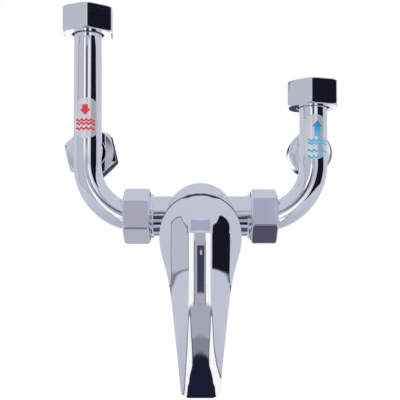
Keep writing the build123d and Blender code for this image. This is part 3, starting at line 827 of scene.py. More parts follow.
@dataclass
class Lever:
    """Lever handle: crowned shell, open behind, with the boss that grips the spindle."""

    pivot: Vector
    wall: float = 0.0024
    band_angle: float = math.radians(43)
    least_band: float = 0.0012
    edge_thickness: float = 0.0016
    least_step: float = 0.0001
    steps_between: int = 10
    crown_steps: int = 20
    band_steps: int = 6
    wall_steps: int = 3
    least_turn: float = 0.05
    tip_round: float = 0.0045
    # Size of the dark strip that paints the shadow in the gap between the lever's top edge and the bonnet.
    shadow_strip_low: float = -0.006
    shadow_strip_proud: float = 0.0006
    shadow_strip_depth: float = 0.0009
    shadow_strip_clearance: float = 0.00005
    shadow_strip_rise: float = 1.6
    pivot_to_top: float = 0.0129
    brow_up: float = -0.0105
    brow_slope: float = 0.17
    brow_fade: float = 0.010
    brow_half_width: tuple[float, float] = (0.007, 0.015)
    solid_stations: int = 2
    pivot_forward: float = 0.032
    spindle_tilt: float = math.radians(12.5)
    boss_radius: float = 0.007
    boss_bore: float = 0.0057
    boss_start: float = 0.0145
    boss_end: float = 0.0232
    screw_at: float = 0.0193
    screw_radius: float = 0.0025
    lug_radius: float = 0.0045
    lug_start: float = 0.004
    lug_end: float = 0.009
    shell_edge: float = 0.0006
    stations: list[Station] = field(
        default_factory=lambda: [
            Station(up / 1000, front / 1000, half / 1000, crown / 1000, back / 1000)
            for up, front, half, crown, back in (
                (12.9, 50.6, 3.0, 12.0, 49.4),
                (12.0, 51.8, 7.2, 15.0, 49.2),
                (9.5, 53.9, 13.0, 20.0, 48.4),
                (5.0, 56.2, 18.6, 24.0, 46.9),
                (-2.0, 58.1, 23.0, 26.0, 44.6),
                (-10.4, 59.125, 24.99, 26.0, 42.1),
                (-10.6, 59.135, 25.0, 26.0, 42.05),
                (-18.0, 59.3, 24.5, 26.0, 40.6),
                (-27.0, 58.8, 22.3, 26.0, 40.2),
                (-38.0, 57.5, 19.4, 26.0, 40.6),
                (-54.0, 54.9, 17.0, 28.0, 41.4),
                (-72.0, 51.0, 15.2, 33.0, 41.4),
                (-90.0, 46.0, 13.4, 40.0, 39.6),
                (-101.0, 42.6, 12.5, 45.0, 37.8),
                (-106.1, 40.9, 12.05, 47.6, 36.75),
                (-110.6, 39.4, 11.6, 50.0, 35.8),
            )
        ]
    )

    def smooth_stations(self, stations: Sequence[Station]) -> list[Station]:
        """The stations with smooth steps between them."""
        made = []
        last = len(stations) - 1
        for i in range(last):
            b, c = stations[i], stations[i + 1]
            a = stations[i - 1] if i else replace(b, up=2 * b.up - c.up)
            d = stations[i + 2] if i + 2 <= last else self.beyond(b, c)
            shares = [k / self.steps_between for k in range(self.steps_between)]
            made += [Station.between(a, b, c, d, share) for share in shares]
        return [self.tip_rounded(station) for station in [*made, stations[-1]]]

    def tip_rounded(self, station: Station) -> Station:
        """A section near the tip drawn in, so that the tip's corners are round."""
        tip = self.stations[-1]
        gap = self.tip_round - (station.up - tip.up)
        if gap <= 0:
            return station
        bow = math.sqrt(max(self.tip_round**2 - gap * gap, 0.0))
        return replace(station, half_width=station.half_width - self.tip_round + bow)

    @staticmethod
    def beyond(b: Station, c: Station) -> Station:
        """The station that carries a run straight on."""
        return Station(*[2 * end - start for start, end in zip(astuple(b), astuple(c))])

    def crest(self, station: Station, wall: float) -> tuple[list[tuple[float, float]], float]:
        """Front of one section, as (x, forward) points from left to right, and its back's place."""
        half = station.half_width - wall
        crown = station.crown - wall
        front = station.front - wall
        turn = math.asin(max((half - self.least_band) / crown, self.least_turn))
        turn = min(self.band_angle, turn)
        edge_x = crown * math.sin(turn)
        edge = front - crown * (1 - math.cos(turn))
        rim = edge - (half - edge_x) * math.tan(turn)
        back = min(station.back, rim - self.edge_thickness)
        points = []
        for k in range(-self.crown_steps, self.crown_steps + 1):
            at = turn * k / self.crown_steps
            points.append((crown * math.sin(at), front - crown * (1 - math.cos(at))))
        band, count = half - edge_x, self.band_steps
        left = [(-half + band * k / count, rim + (edge - rim) * k / count) for k in range(count)]
        right = [
            (edge_x + band * k / count, edge + (rim - edge) * k / count)
            for k in range(1, count + 1)
        ]
        return left + points + right, back

    def place(self, x: float, forward: float, up: float) -> Vector:
        """A point by its forward distance from the arms' axis and its height above the pivot."""
        return self.pivot + Vector((x, self.pivot_forward - forward, up))

    def build(self, maker: Maker, finish: Finish) -> None:
        """Makes the shell with its boss and screw lug in place of the lever's CAD node."""
        stations = self.smooth_stations(self.stations)
        first = self.steps_between
        last = self.steps_between * (len(self.stations) - 1 - self.solid_stations)
        rows = [self.solid_ring(station) for station in stations[: first + 1]]
        rows += [self.hollow_ring(station) for station in stations[first : last + 1]]
        rows += [self.solid_ring(station) for station in stations[last:]]
        maker.piece("lever_shell", [self.capped(rows)], Body.LEVER, finish, ["lever_handle"],
                    around=False, bevel=self.shell_edge)
        along = Vector((0, -math.cos(self.spindle_tilt), -math.sin(self.spindle_tilt)))
        down = Vector((0, math.sin(self.spindle_tilt), -math.cos(self.spindle_tilt)))
        seat = Seat(self.pivot, along, RIGHT)
        boss = [
            (self.boss_bore, self.boss_start, 0.0),
            (self.boss_radius, self.boss_start, 0.0008),
            (self.boss_radius, self.boss_end, 0.0),
            (self.boss_bore, self.boss_end, 0.0),
        ]
        maker.turned("lever_boss", seat, rounded(boss, closed=True), Body.LEVER, finish)
        seat = Seat(self.pivot + along * self.screw_at, down, RIGHT)
        lug = [
            (self.screw_radius, self.lug_start, 0.0),
            (self.lug_radius, self.lug_start, 0.0),
            (self.lug_radius, self.lug_end, 0.0006),
            (self.screw_radius, self.lug_end, 0.0004),
        ]
        outline = rounded(lug, closed=True)
        maker.turned("lever_screw_lug", seat, outline, Body.LEVER, finish, steps=48)

    def painted_shadow_gap_strip(self, maker: Maker, finish: Finish) -> None:
        """Makes a painted shadow: a thin dark strip along the lever's top edge, flush with it at its low ends."""
        stations = reversed(self.smooth_stations(self.stations))
        side = [(s.half_width, s.up, s.back) for s in stations if s.up > self.shadow_strip_low]
        path = side + [(-x, up, back) for x, up, back in reversed(side)]
        rows = []
        for i, (x, up, back) in enumerate(path):
            before, after = path[max(i - 2, 0)], path[min(i + 2, len(path) - 1)]
            run = Vector((after[0] - before[0], after[1] - before[1])).normalized()
            out = Vector((run.y, -run.x))
            rise = (up - self.shadow_strip_low) / (self.pivot_to_top - self.shadow_strip_low)
            proud = self.shadow_strip_proud * min(self.shadow_strip_rise * min(max(rise, 0.0), 1.0), 1.0)
            gap, depth = self.shadow_strip_clearance, -self.shadow_strip_depth
            corners = ((depth, gap), (proud, gap), (proud, depth), (depth, depth))
            rows.append([
                self.place(x + out.x * far, back + deep, up + out.y * far) for far, deep in corners
            ])
        maker.piece("lever_painted_shadow_gap", [self.capped(rows)], Body.LEVER, finish, around=False)

    @staticmethod
    def capped(rings: list[list[Vector]]) -> list[list[Vector]]:
        """Rings with a point at the middle of each end, which closes it."""
        ends = (rings[0], rings[-1])
        first, last = ([sum(ring, Vector()) / len(ring)] * len(ring) for ring in ends)
        return [first, *rings, last]

    def side_walls(self, front: Outline, back: float) -> tuple[Outline, Outline]:
        """The left wall from its back edge to the front, and the right one to its back edge."""
        half, rim = front[-1][0], front[0][1]
        places = [back + (rim - back) * k / self.wall_steps for k in range(self.wall_steps)]
        return [(-half, at) for at in places], [(half, at) for at in reversed(places)]

    def outer_row(self, station: Station) -> list[Vector]:
        """Front points of a section from its left back edge to its right one."""
        points, back = self.crest(station, 0.0)
        left, right = self.side_walls(points, back)
        points = [(x, forward - self.brow(x, station.up)) for x, forward in points]
        return [self.place(x, forward, station.up) for x, forward in left + points + right]

    def brow(self, x: float, up: float) -> float:
        """How far the dome lies back above the brow, the soft edge across its middle."""
        over = up - self.brow_up
        if over <= 0:
            return 0.0
        inner, outer = self.brow_half_width
        side = min(max((outer - abs(x)) / (outer - inner), 0.0), 1.0)
        side = side * side * (3 - 2 * side)
        return side * self.brow_slope * self.brow_fade * (1 - math.exp(-over / self.brow_fade))

    def hollow_ring(self, station: Station) -> list[Vector]:
        """Closed ring of a hollow section: the front, then the inside back to the left."""
        points, _ = self.crest(station, self.wall)
        _, back = self.crest(station, 0.0)
        rim = min(points[0][1], back + self.least_step)
        points = [(x, max(forward, rim)) for x, forward in points]
        left, right = self.side_walls(points, back)
        inside = [self.place(x, forward, station.up) for x, forward in left + points + right]
        return self.outer_row(station) + inside[::-1]

    def solid_ring(self, station: Station) -> list[Vector]:
        """Closed ring of a solid section: the front, then straight back to the left."""
        front = self.outer_row(station)
        start, end = front[-1], front[0]
        last = len(front) - 1
        return front + [start.lerp(end, k / last) for k in range(len(front))]


@dataclass(frozen=True)
class ValveBody:
    """Barrel, arms with ring flanges and threaded shower outlet of the cast body."""

    arm: Vector
    barrel: Vector
    reach: float
    outlet_end: float
    barrel_radius: float = 0.0214
    barrel_back: float = 0.014
    back_round: float = 0.006
    barrel_front: float = 0.033
    spigot_start: float = 0.0265
    spigot_radius: float = 0.0197
    mouth_radius: float = 0.0186
    chamber_radius: float = 0.0176
    chamber_floor: float = 0.011
    shoulder: float = 0.030
    arm_radius: float = 0.0131
    ring_radius: float = 0.0145
    ring_width: float = 0.0017
    ring_inner: float = 0.0312
    stub_radius: float = 0.01262
    passage: float = 0.008
    neck_radius: float = 0.012
    outlet_bore: float = 0.0075
    outlet_thread: float = 0.011
    outlet_major: float = 0.0104775
    outlet_root: float = 0.004
    outlet_edge: float = 0.0005

    def build(self, maker: Maker, finish: Finish) -> None:
        """Makes the body's three turned pieces in place of its CAD node."""
        self.barrel_piece(maker, finish)
        self.arms_piece(maker, finish)
        self.outlet_piece(maker, finish)

    def barrel_piece(self, maker: Maker, finish: Finish) -> None:
        """Barrel with a rounded back, a spigot for the bonnet and the cartridge's chamber."""
        seat = Seat(self.barrel, FRONT, RIGHT)
        corners = [
            (0.0, -self.barrel_back, 0.0),
            (self.barrel_radius, -self.barrel_back, self.back_round),
            (self.barrel_radius, self.spigot_start, 0.0004),
            (self.spigot_radius, self.spigot_start, 0.0003),
            (self.spigot_radius, self.barrel_front, 0.0004),
            (self.mouth_radius, self.barrel_front, 0.0003),
            (self.mouth_radius, self.shoulder, 0.0),
            (self.chamber_radius, self.shoulder, 0.0),
            (self.chamber_radius, self.chamber_floor, 0.0),
            (0.0, self.chamber_floor, 0.0),
        ]
        outline = rounded(corners, 10)
        maker.turned("body_barrel", seat, outline, Body.VALVE, finish, ["valve_body"], 128)

    def arms_piece(self, maker: Maker, finish: Finish) -> None:
        """Both arms as one bored bar with a ring flange and a threaded stub at each end."""
        seat = Seat(self.arm, RIGHT, FRONT)
        ring_outer = self.ring_inner + self.ring_width
        half = [
            (self.arm_radius, self.ring_inner, 0.0008),
            (self.ring_radius, self.ring_inner, 0.0005),
            (self.ring_radius, ring_outer, 0.0005),
            (self.stub_radius, ring_outer, 0.0),
            (self.stub_radius, self.reach, 0.0004),
            (self.passage, self.reach, 0.0004),
        ]
        corners = half + [(radius, -height, turn) for radius, height, turn in reversed(half)]
        maker.turned("body_arms", seat, rounded(corners, closed=True), Body.VALVE, finish)

    def outlet_piece(self, maker: Maker, finish: Finish) -> None:
        """Shower outlet below the barrel, with its pipe thread."""
        seat = Seat(self.arm, DOWN, FRONT)
        end = self.outlet_end
        start = end - self.outlet_thread
        thread = Thread(self.outlet_major, start + 0.0006, end - 0.0004, -THREAD_DEPTH)

        def outline(angle: float) -> Outline:
            """The outlet's closed outline at one angle."""
            corners = [
                (self.neck_radius, self.outlet_root, 0.0),
                (self.neck_radius, start, 0.0008),
                (self.outlet_major - 0.0006, start, 0.0),
                *thread.corners(angle),
                (self.outlet_major - 0.0011, end, 0.0),
                (self.outlet_bore + self.outlet_edge, end, 0.0),
                (self.outlet_bore, end - self.outlet_edge, 0.0),
                (self.outlet_bore, self.outlet_root, 0.0),
            ]
            return rounded(corners, closed=True)

        maker.turned("body_outlet", seat, outline, Body.VALVE, finish)


@dataclass(frozen=True)
class Bonnet:
    """Thin domed bonnet that covers the cartridge's nut."""

    barrel: Vector
    radius: float = 0.0216
    start: float = 0.0266
    shoulder: float = 0.0335
    shoulder_round: float = 0.006
    pivot_forward: float = 0.032
    dome: float = 0.0192
    wall: float = 0.0013
    opening: float = 0.013
    bow_steps: int = 16

    def build(self, maker: Maker, finish: Finish) -> None:
        """Makes the bonnet in place of its CAD node."""
        bore = self.radius - self.wall * 1.5
        outside = self.skin(self.dome, self.radius, self.shoulder)
        inside = self.skin(self.dome - self.wall, bore, self.shoulder - self.wall / 2)
        start = [(bore, self.start, 0.0), (self.radius, self.start, 0.0004)]
        outline = rounded(start + outside + inside[::-1], 8, True)
        seat = Seat(self.barrel, FRONT, RIGHT)
        maker.turned("bonnet_bright", seat, outline, Body.VALVE, finish, ["bonnet"], 128)

    def skin(self, dome: float, radius: float, shoulder: float) -> list[Corner]:
        """Corners from the shoulder over the cone to the dome and its opening."""
        ahead = shoulder - self.pivot_forward
        lean = math.atan2(ahead, radius) + math.acos(dome / math.hypot(ahead, radius))
        last = math.acos(self.opening / dome)
        bows = [lean + (last - lean) * k / self.bow_steps for k in range(self.bow_steps + 1)]
        middle = self.pivot_forward
        arc = [(dome * math.cos(at), middle + dome * math.sin(at), 0.0) for at in bows]
        return [(radius, shoulder, self.shoulder_round), *arc]


@dataclass(frozen=True)
class WallConnections:
    """What joins the risers to the wall: a tailpiece on the hot side, a socket on the cold one."""

    hot: Vector
    cold: Vector
    standoff: float
    riser_radius: float = 0.0092
    branch_radius: float = 0.0088
    branch_wall: float = 0.0012
    nut_length: float = 0.017
    collar_radius: float = 0.0119
    collar_start: float = 0.0031
    collar_end: float = 0.0057
    socket_radius: float = 0.0148
    socket_round: float = 0.0016
    socket_thread: float = 0.0125
    bore: float = 0.0093155
    bead: float = 0.0012
    bead_flatness: float = 0.7
    bead_steps: int = 12
    joint_steps: int = 72

    @property
    def saddle(self) -> float:
        """How far from the riser's axis a branch starts, inside the tube's wall."""
        return self.riser_radius * 0.62

    @property
    def passage(self) -> float:
        """Inner radius of a branch."""
        return self.branch_radius - self.branch_wall

    @property
    def face(self) -> float:
        """Where the nut's and the socket's faces lie, from the riser's axis."""
        return self.standoff - self.nut_length

    def build(self, maker: Maker, finish: Finish) -> None:
        """Makes both connections and their brazed joints."""
        seat = Seat(self.hot, BACK, RIGHT)
        start, end = self.face + self.collar_start, self.face + self.collar_end
        corners = [
            (self.passage, self.saddle, 0.0),
            (self.branch_radius, self.saddle, 0.0),
            (self.branch_radius, start, 0.0),
            (self.collar_radius, start, 0.0003),
            (self.collar_radius, end, 0.0003),
            (self.passage, end, 0.0003),
        ]
        outline = rounded(corners, closed=True)
        maker.turned("hot_tailpiece_bright", seat, outline, Body.VALVE, finish,
                     ["hot_wall_tailpiece"])
        self.socket(maker, finish)
        for name, place in (("hot", self.hot), ("cold", self.cold)):
            self.braze(maker, f"{name}_brazed_joint", place, finish)

    def socket(self, maker: Maker, finish: Finish) -> None:
        """Round socket with a thread inside its mouth."""
        seat = Seat(self.cold, BACK, RIGHT)
        mouth, floor = self.standoff, self.standoff - self.socket_thread
        thread = Thread(self.bore, floor + 0.0002, mouth - 0.0006, THREAD_DEPTH)

        def outline(angle: float) -> Outline:
            """The socket's closed outline at one angle."""
            corners = [
                (self.passage, self.saddle, 0.0),
                (self.branch_radius, self.saddle, 0.0),
                (self.branch_radius, self.face, 0.0005),
                (self.socket_radius, self.face, self.socket_round),
                (self.socket_radius, mouth, 0.0006),
                (self.bore + 0.0006, mouth, 0.0),
                *thread.corners(angle)[::-1],
                (self.passage, floor, 0.0),
            ]
            return rounded(corners, closed=True)

        maker.turned("cold_socket_bright", seat, outline, Body.VALVE, finish, ["cold_wall_socket"])

    def braze(self, maker: Maker, name: str, place: Vector, finish: Finish) -> None:
        """Bead of filler where the branch meets the riser.

        Args:
            maker: makes the piece.
            name: the piece's name.
            place: where the branch's axis meets the riser's.
            finish: its finish.
        """
        rows = []
        for angle in turns(self.joint_steps):
            out = Vector((math.cos(angle), 0, math.sin(angle)))
            x = self.branch_radius * math.cos(angle)
            back = math.sqrt(self.riser_radius**2 - x * x)
            middle = place + Vector((x, back, self.branch_radius * math.sin(angle)))
            corner = (out + Vector((x, back, 0)).normalized()).normalized()
            lift = corner.cross(Vector((-math.sin(angle), 0, math.cos(angle)))).normalized()
            ring = []
            for at in turns(self.bead_steps):
                far = self.bead * self.bead_flatness * math.cos(at)
                ring.append(middle + corner * far + lift * (self.bead * math.sin(at)))
            rows.append(ring)
        maker.piece(name, [rows], Body.VALVE, finish)


@dataclass(frozen=True)
class Label:
    """Film wrapped on a riser, with rounded ends."""

    name: str
    tube: Vector
    low: float
    high: float
    radius: float = 0.0092
    thickness: float = 0.00012
    half_width: float = 0.0089
    sliver: float = 0.00002
    end_steps: int = 12
    middle_steps: int = 8
    across_steps: int = 40

    def build(self, maker: Maker, finish: Finish) -> None:
        """Makes the film in place of its CAD node."""
        end = self.half_width
        spans = [math.pi / 2 * k / self.end_steps for k in range(self.end_steps + 1)]
        bows = [(end * (1 - math.cos(at)), max(end * math.sin(at), self.sliver)) for at in spans]
        rows = [(self.low + up, half) for up, half in bows]
        for k in range(1, self.middle_steps):
            up = (self.high - self.low - 2 * end) * k / self.middle_steps
            rows.append((self.low + end + up, end))
        rows += [(self.high - up, half) for up, half in reversed(bows)]
        rings = []
        for height, half in rows:
            reach = math.asin(half / self.radius)
            count = self.across_steps
            angles = [reach * (2 * k / count - 1) for k in range(count + 1)]
            outer = [self.point(self.radius + self.thickness, at, height) for at in angles]
            inner = [self.point(self.radius - self.sliver, at, height) for at in reversed(angles)]
            rings.append(outer + inner)
        maker.piece(f"{self.name}_film", [rings], Body.VALVE, finish, [self.name], around=False)

    def point(self, radius: float, angle: float, height: float) -> Vector:
        """A point by its distance from the tube's axis, its angle from the front and its height."""
        aside, ahead = radius * math.sin(angle), radius * math.cos(angle)
        return Vector((self.tube.x + aside, self.tube.y - ahead, height))


# Studio


@dataclass(frozen=True)
class Card:
    """A reflector or flag that only the chrome mirrors.

    Its outline is a ring of (azimuth, elevation) corners in degrees, seen from the valve.
    Azimuth 0 is towards the camera and rises to the right.
    """

    name: str
    outline: Ring
    reach: float
    colour: Colour
    soft: float = 1.5
    steps: int = 6
    middle: Corner = (0.0, -0.03, -0.04)

    def build(self) -> None:
        """Makes the card, which only mirror reflections see."""
        ring = []
        for (az, el), (az_next, el_next) in zip(self.outline, self.outline[1:] + self.outline[:1]):
            for share in (k / self.steps for k in range(self.steps)):
                ring.append((az + (az_next - az) * share, el + (el_next - el) * share))
        count = len(ring)
        middle = (sum(az for az, _ in ring) / count, sum(el for _, el in ring) / count)
        fades = [(middle, 1.0)]
        fades += [(self.drawn(corner, middle, -self.soft / 2), 1.0) for corner in ring]
        fades += [(self.drawn(corner, middle, self.soft / 2), 0.0) for corner in ring]
        sides = [(1 + k, 1 + (k + 1) % count) for k in range(count)]
        faces = [(0, near, after) for near, after in sides]
        faces += [(near, near + count, after + count, after) for near, after in sides]
        data = bpy.data.meshes.new(self.name)
        data.from_pydata([self.point(*place) for place, _ in fades], [], faces)
        layer = data.uv_layers.new(name="fade")
        for loop in data.loops:
            layer.data[loop.index].uv = (fades[loop.vertex_index][1], 0.0)
        card = new_object(self.name, data)
        data.materials.append(self._material())
        for ray in ("camera", "diffuse", "shadow", "transmission", "volume_scatter"):
            setattr(card, f"visible_{ray}", False)

    @staticmethod
    def drawn(corner: Sequence[float], middle: Sequence[float], out: float) -> tuple[float, float]:
        """A corner moved out from the card's middle by some degrees."""
        az, el = corner[0] - middle[0], corner[1] - middle[1]
        size = max(abs(az), abs(el))
        return corner[0] + out * az / size, corner[1] + out * el / size

    def point(self, azimuth: float, elevation: float) -> Vector:
        """Place of a direction at the card's reach, seen from the valve's middle."""
        az, el = math.radians(azimuth), math.radians(elevation)
        level = self.reach * math.cos(el)
        x, y, z = self.middle
        x, y = x + level * math.sin(az), y - level * math.cos(az)
        return Vector((x, y, z + self.reach * math.sin(el)))

    def _material(self) -> bpy.types.Material:
        """Even light that fades out at the card's edges."""
        made, graph = new_material(self.name)
        inside, _, _ = graph.axes(graph.node("ShaderNodeTexCoord", output="UV"))
        clear = graph.node("ShaderNodeBsdfTransparent")
        glow = {"Color": (*self.colour, 1.0), "Strength": 1.0}
        light = graph.node("ShaderNodeEmission", inputs=glow)
        mixed = graph.node("ShaderNodeMixShader", inputs={0: inside, 1: clear, 2: light})
        graph.surface(mixed)
        return made


def box(left: float, right: float, low: float, high: float) -> Ring:
    """Corners of a card whose sides are upright and level."""
    return ((left, low), (right, low), (right, high), (left, high))


@dataclass
class Studio:
    """Camera, floor, lamps and the cards round the valve."""

    focal_px: float = 780.0
    image_px: float = 400.0
    centre_px: float = 200.45
    horizon_px: float = 266.0
    distance: float = 0.545
    height: float = -0.077
    tilt: float = math.radians(1.5)
    sensor: float = 36.0
    floor_height: float = -0.30
    floor_radius: float = 0.72
    floor_steps: int = 96
    floor_fade: tuple[float, float] = (0.12, 0.46)
    lamp_size: float = 1.2
    lamp_watts: float = 4.0
    lamp_place: Corner = (0.2, -0.9, 1.1)
    lamp_tilt: float = math.radians(38)
    lamp_turn: float = math.radians(12)
    even_level: Colour = (0.80, 0.80, 0.80)
    room: tuple[tuple[float, Colour], ...] = (
        (0.0, (0.06, 0.06, 0.10)),
        (0.012, (0.09, 0.09, 0.14)),
        (0.035, (0.44, 0.46, 0.54)),
        (0.3, (0.56, 0.58, 0.67)),
        (0.5, (0.56, 0.58, 0.67)),
        (0.75, (0.57, 0.59, 0.68)),
        (1.0, (0.57, 0.59, 0.68)),
    )
    cards: tuple[Card, ...] = (
        Card("left_softbox", box(-29, -17, -27, 5), 0.5, WHITE),
        Card("right_softbox", box(13.5, 25, -27, 5), 0.5, WHITE),
        Card("left_upper_softbox", box(-27, -15, 9, 22), 2.0, WHITE),
        Card("right_upper_softbox", box(8, 23, 9, 22), 2.0, (0.85, 0.85, 0.87)),
        Card("upper_panel", box(-11, 3, 10, 19), 1.9, (0.08, 0.08, 0.10)),
        Card("brow_panel", box(-27, 27, 18, 29.5), 2.3, (0.39, 0.40, 0.52)),
        Card("camera_panel", box(-9, 10, -21, -1), 1.9, (0.045, 0.05, 0.085), 0.5),
        Card("camera_window", box(-1, 4, -7, -4.5), 1.8, (0.55, 0.55, 0.60), 1.0),
        Card("middle_wall", box(-14, 12, -24, 9), 2.2, (0.41, 0.42, 0.50), 0.7),
        Card("middle_wall_edge", box(-17, 15, -26, 4), 2.4, (0.22, 0.23, 0.28), 1.0),
        Card(
            "right_flag",
            ((31, -13.2), (60, -12.0), (75, -10.8), (85, -9.8), (86, 3), (84, 10), (75, 19),
             (62, 24), (50, 28), (40, 31), (35, 31), (31, 22)),
            2.1,
            (0.008, 0.008, 0.016),
            0.5,
        ),
        Card(
            "left_panel",
            ((-33, -13.0), (-60, -11.8), (-75, -10.6), (-84, -9.6), (-84, 10), (-75, 17),
             (-62, 22), (-50, 25), (-40, 27.5), (-36, 27.5), (-33, 20)),
            2.1,
            (0.50, 0.52, 0.60),
            0.4,
        ),
        Card(
            "left_panel_edge",
            ((-31, -13.6), (-60, -12.4), (-75, -11.2), (-86, -10.2), (-86, 12), (-75, 19),
             (-62, 24), (-50, 27), (-40, 29.5), (-35, 29.5), (-31, 20)),
            2.4,
            (0.18, 0.18, 0.22),
            0.4,
        ),
        Card("lower_wall", ((-26, -24), (26, -24), (20, -34), (-19, -34)), 2.1,
             (0.38, 0.40, 0.48), 2.0),
        Card("low_wall", ((-21, -31), (22, -31), (16, -41), (-14, -41)), 2.2,
             (0.23, 0.24, 0.31), 1.0),
        Card("lower_wall_edge", ((-28, -23), (28, -23), (18, -40), (-17, -40)), 2.4,
             (0.10, 0.10, 0.13), 0.7),
        Card(
            "dark_floor",
            ((-15, -39.3), (17, -39.3), (24, -43), (33, -49), (34, -54), (-29, -54), (-27, -48),
             (-21, -43)),
            1.9,
            (0.011, 0.013, 0.030),
            1.0,
        ),
        Card("left_floor_light", box(-28.5, -10, -54, -26), 2.5, WHITE, 1.0),
        Card("left_floor_edge", box(-30.5, -10, -54, -24), 2.7, (0.20, 0.20, 0.25), 1.0),
        Card("right_floor_light",
             ((12, -26), (28.5, -26), (29, -36), (37, -40), (38, -54), (12, -54)),
             2.5, WHITE, 1.0),
        Card("right_floor_edge",
             ((12, -24), (30.5, -24), (31, -35), (39, -39), (40, -54), (12, -54)),
             2.7, (0.20, 0.20, 0.25), 1.0),
        Card("rear_left_softbox", box(186, 199, -32, 26), 2.0, WHITE),
        Card("rear_right_softbox", box(156, 168, -32, 26), 2.0, WHITE),
        Card("rear_panel", box(170, 184, -24, 18), 1.9, (0.06, 0.065, 0.10)),
        Card("rear_low_panel", box(160, 196, -48, -36), 1.9, (0.10, 0.11, 0.15), 4.0),
    )

    def build(self) -> None:
        """Sets up the camera, world, floor, lamps and cards."""
        self.camera()
        self.world()
        self.floor()
        self.lamps()
        for card in self.cards:
            card.build()

    def camera(self) -> None:
        """Camera at the photograph's angle, with its crop as a shift."""
        data = bpy.data.cameras.new("photo_camera")
        data.sensor_width = self.sensor
        data.lens = self.sensor * self.focal_px / self.image_px
        middle = self.image_px / 2
        data.shift_x = (middle - self.centre_px) / self.image_px
        rise = self.focal_px * math.tan(self.tilt)
        data.shift_y = (self.horizon_px - middle - rise) / self.image_px
        camera = new_object("photo_camera", data)
        camera.location = (0.0, -self.distance, self.height)
        camera.rotation_euler = (math.pi / 2 + self.tilt, 0.0, 0.0)
        bpy.context.scene.camera = camera

    def world(self) -> None:
        """White for the camera, a graded room for mirrors and an even level for the rest."""
        world = bpy.data.worlds.new("studio_room")
        bpy.context.scene.world = world
        world.use_nodes = True
        graph = Graph(world.node_tree)
        path = graph.node("ShaderNodeLightPath").socket.node
        seen = Wire(graph, path.outputs["Is Camera Ray"])
        mirrored = Wire(graph, path.outputs["Is Glossy Ray"])
        _, _, up = graph.axes(graph.node("ShaderNodeTexCoord", output="Generated"))
        height = up * 0.5 + 0.5
        room = graph.node("ShaderNodeValToRGB", {"stops": self.room}, {0: height})
        light = graph.mix(mirrored, self.even_level, room)
        shown = graph.mix(seen, light, WHITE)
        shade = graph.node("ShaderNodeBackground", inputs={"Color": shown})
        graph.node("ShaderNodeOutputWorld", inputs={"Surface": shade})

    def floor(self) -> None:
        """Pale round floor that fades into the white room."""
        mesh = bmesh.new()
        radius, steps = self.floor_radius, self.floor_steps
        bmesh.ops.create_circle(mesh, cap_ends=True, segments=steps, radius=radius)
        data = bpy.data.meshes.new("studio_floor")
        mesh.to_mesh(data)
        mesh.free()
        floor = new_object("studio_floor", data)
        floor.location = (0.0, 0.0, self.floor_height)
        floor.visible_glossy = False
        made, graph = new_material("pale_floor")
        x, y, _ = graph.axes(graph.place())
        out = (x * x + y * y).ramp(*self.floor_fade)
        matt = graph.node("ShaderNodeBsdfDiffuse", inputs={"Color": (0.95, 0.95, 0.95, 1.0)})
        clear = graph.node("ShaderNodeBsdfTransparent")
        mixed = graph.node("ShaderNodeMixShader", inputs={0: out, 1: matt, 2: clear})
        graph.surface(mixed)
        data.materials.append(made)

    def lamps(self) -> None:
        """One wide soft lamp above and in front, unseen in mirrors."""
        data = bpy.data.lights.new("overhead_lamp", "AREA")
        data.shape = "RECTANGLE"
        data.size = data.size_y = self.lamp_size
        data.energy = self.lamp_watts
        lamp = new_object("overhead_lamp", data)
        lamp.location = self.lamp_place
        lamp.rotation_euler = (self.lamp_tilt, 0.0, self.lamp_turn)
        lamp.visible_glossy = False


def middle_of(node: str) -> Vector:
    """Middle of a CAD node's box."""
    low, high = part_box(node)
    return (low + high) / 2


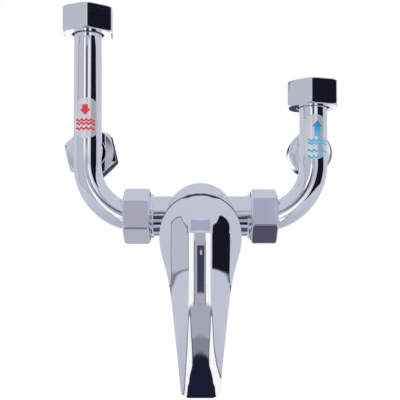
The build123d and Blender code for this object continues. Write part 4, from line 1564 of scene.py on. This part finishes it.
def build_pieces(maker: Maker, finishes: dict[Slot, Finish]) -> None:
    """Builds every bright piece where the frame's nodes are.

    Args:
        maker: makes the pieces.
        finishes: the finish of each slot.
    """
    chrome = finishes[Slot.CHROME]
    hot_top, cold_top = middle_of("hot_top_nut"), middle_of("cold_top_nut")
    arm = Vector((0.0, hot_top.y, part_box("hot_riser")[0].z + Riser.radius))
    barrel = Vector((0.0, arm.y, middle_of("fixed_disc").z))
    pivot = Vector(frame["joints"][0]["pos_m"])
    for name, side in (("hot_riser", -1), ("cold_riser", 1)):
        Riser(side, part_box(name)[1].z - arm.z, arm).build(maker, name, chrome)
    for name, body, place, turn in (
        ("hot_top_nut", Body.HOT_TOP, hot_top, 35.0),
        ("cold_top_nut", Body.COLD_TOP, cold_top, 18.3),
    ):
        seat = Seat(Vector((place.x, place.y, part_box(name)[0].z)), UP, RIGHT)
        UnionNut(name, body, seat, math.radians(turn), True).build(maker, chrome)
    for name, side, turn in (("hot_body_nut", -1, 29.0), ("cold_body_nut", 1, 39.0)):
        low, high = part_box(name)
        base = Vector((low.x if side < 0 else high.x, arm.y, arm.z))
        seat = Seat(base, Vector((-side, 0, 0)), BACK)
        UnionNut(name, Body.VALVE, seat, math.radians(turn), False).build(maker, chrome)
    wall = middle_of("hot_wall_nut")
    seat = Seat(Vector((wall.x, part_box("hot_wall_nut")[0].y, wall.z)), BACK, RIGHT)
    turn = math.radians(17.0)
    nut = UnionNut("hot_wall_nut", Body.HOT_WALL, seat, turn, True, turn_depth=0.00155)
    nut.build(maker, chrome)
    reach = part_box("valve_body")[1].x
    outlet_end = arm.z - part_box("valve_body")[0].z
    ValveBody(arm, barrel, reach, outlet_end).build(maker, chrome)
    Bonnet(barrel).build(maker, chrome)
    hot, cold = Vector((hot_top.x, arm.y, 0.0)), Vector((cold_top.x, arm.y, 0.0))
    WallConnections(hot, cold, -arm.y).build(maker, chrome)
    lever = Lever(pivot)
    lever.build(maker, chrome)
    # Painted shadow: a dark rubber strip behind the lever's top edge stands for the shade in the gap against the
    # bonnet.
    lever.painted_shadow_gap_strip(maker, Moulded("lining_rubber", (0.035, 0.035, 0.04), 0.5, slot=Slot.RUBBER))
    silver, red, blue = (0.84, 0.85, 0.91), (0.78, 0.03, 0.04), (0.03, 0.20, 0.62)
    hot_film = Film("hot_film", silver, ink=red, ink_end=red, middle=hot.x - 0.0005,
                    arrow_tip=0.0218, arrow_tail=0.0288, rows=(0.0185, 0.0163, 0.0130))
    cold_film = Film("cold_film", silver, ink=blue, ink_end=(0.10, 0.48, 0.75),
                     middle=cold.x + 0.0015, arrow_tip=0.0182, arrow_tail=0.0077,
                     rows=(0.0052, 0.0032, -0.0016, -0.0058))
    for name, tube, film in (("hot_label", hot, hot_film), ("cold_label", cold, cold_film)):
        low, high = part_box(name)
        Label(name, tube, low.z, high.z).build(maker, film)


def main() -> None:
    """Builds the studio and every piece in order."""
    logging.basicConfig(level=logging.INFO, format="%(message)s")
    bpy.context.scene.view_settings.view_transform = "Standard"
    maker = Maker()
    finishes = {
        Slot.CHROME: Chrome("polished_chrome"),
        Slot.BRASS: Turned("bare_brass", (0.78, 0.60, 0.30)),
        Slot.RUBBER: Moulded("washer_rubber", (0.03, 0.03, 0.033), 0.6),
        Slot.PLASTIC: Moulded("cartridge_plastic", (0.80, 0.81, 0.82), 0.4),
        Slot.CERAMIC: Moulded("ceramic", (0.88, 0.87, 0.84), 0.15, wear=0.1),
        Slot.STEEL: Turned("stainless_steel", (0.60, 0.60, 0.61), stain=(0.4, 0.4, 0.4)),
        Slot.FILM: Film("label_film", (0.80, 0.80, 0.85)),
    }
    finishes = {slot: replace(finish, slot=slot) for slot, finish in finishes.items()}
    for row in frame["record"]["subparts"]:
        maker.dress(row["node"], finishes[Slot(row["material_slot"])])
    build_pieces(maker, finishes)
    Studio().build()


if __name__ == "__main__":
    main()
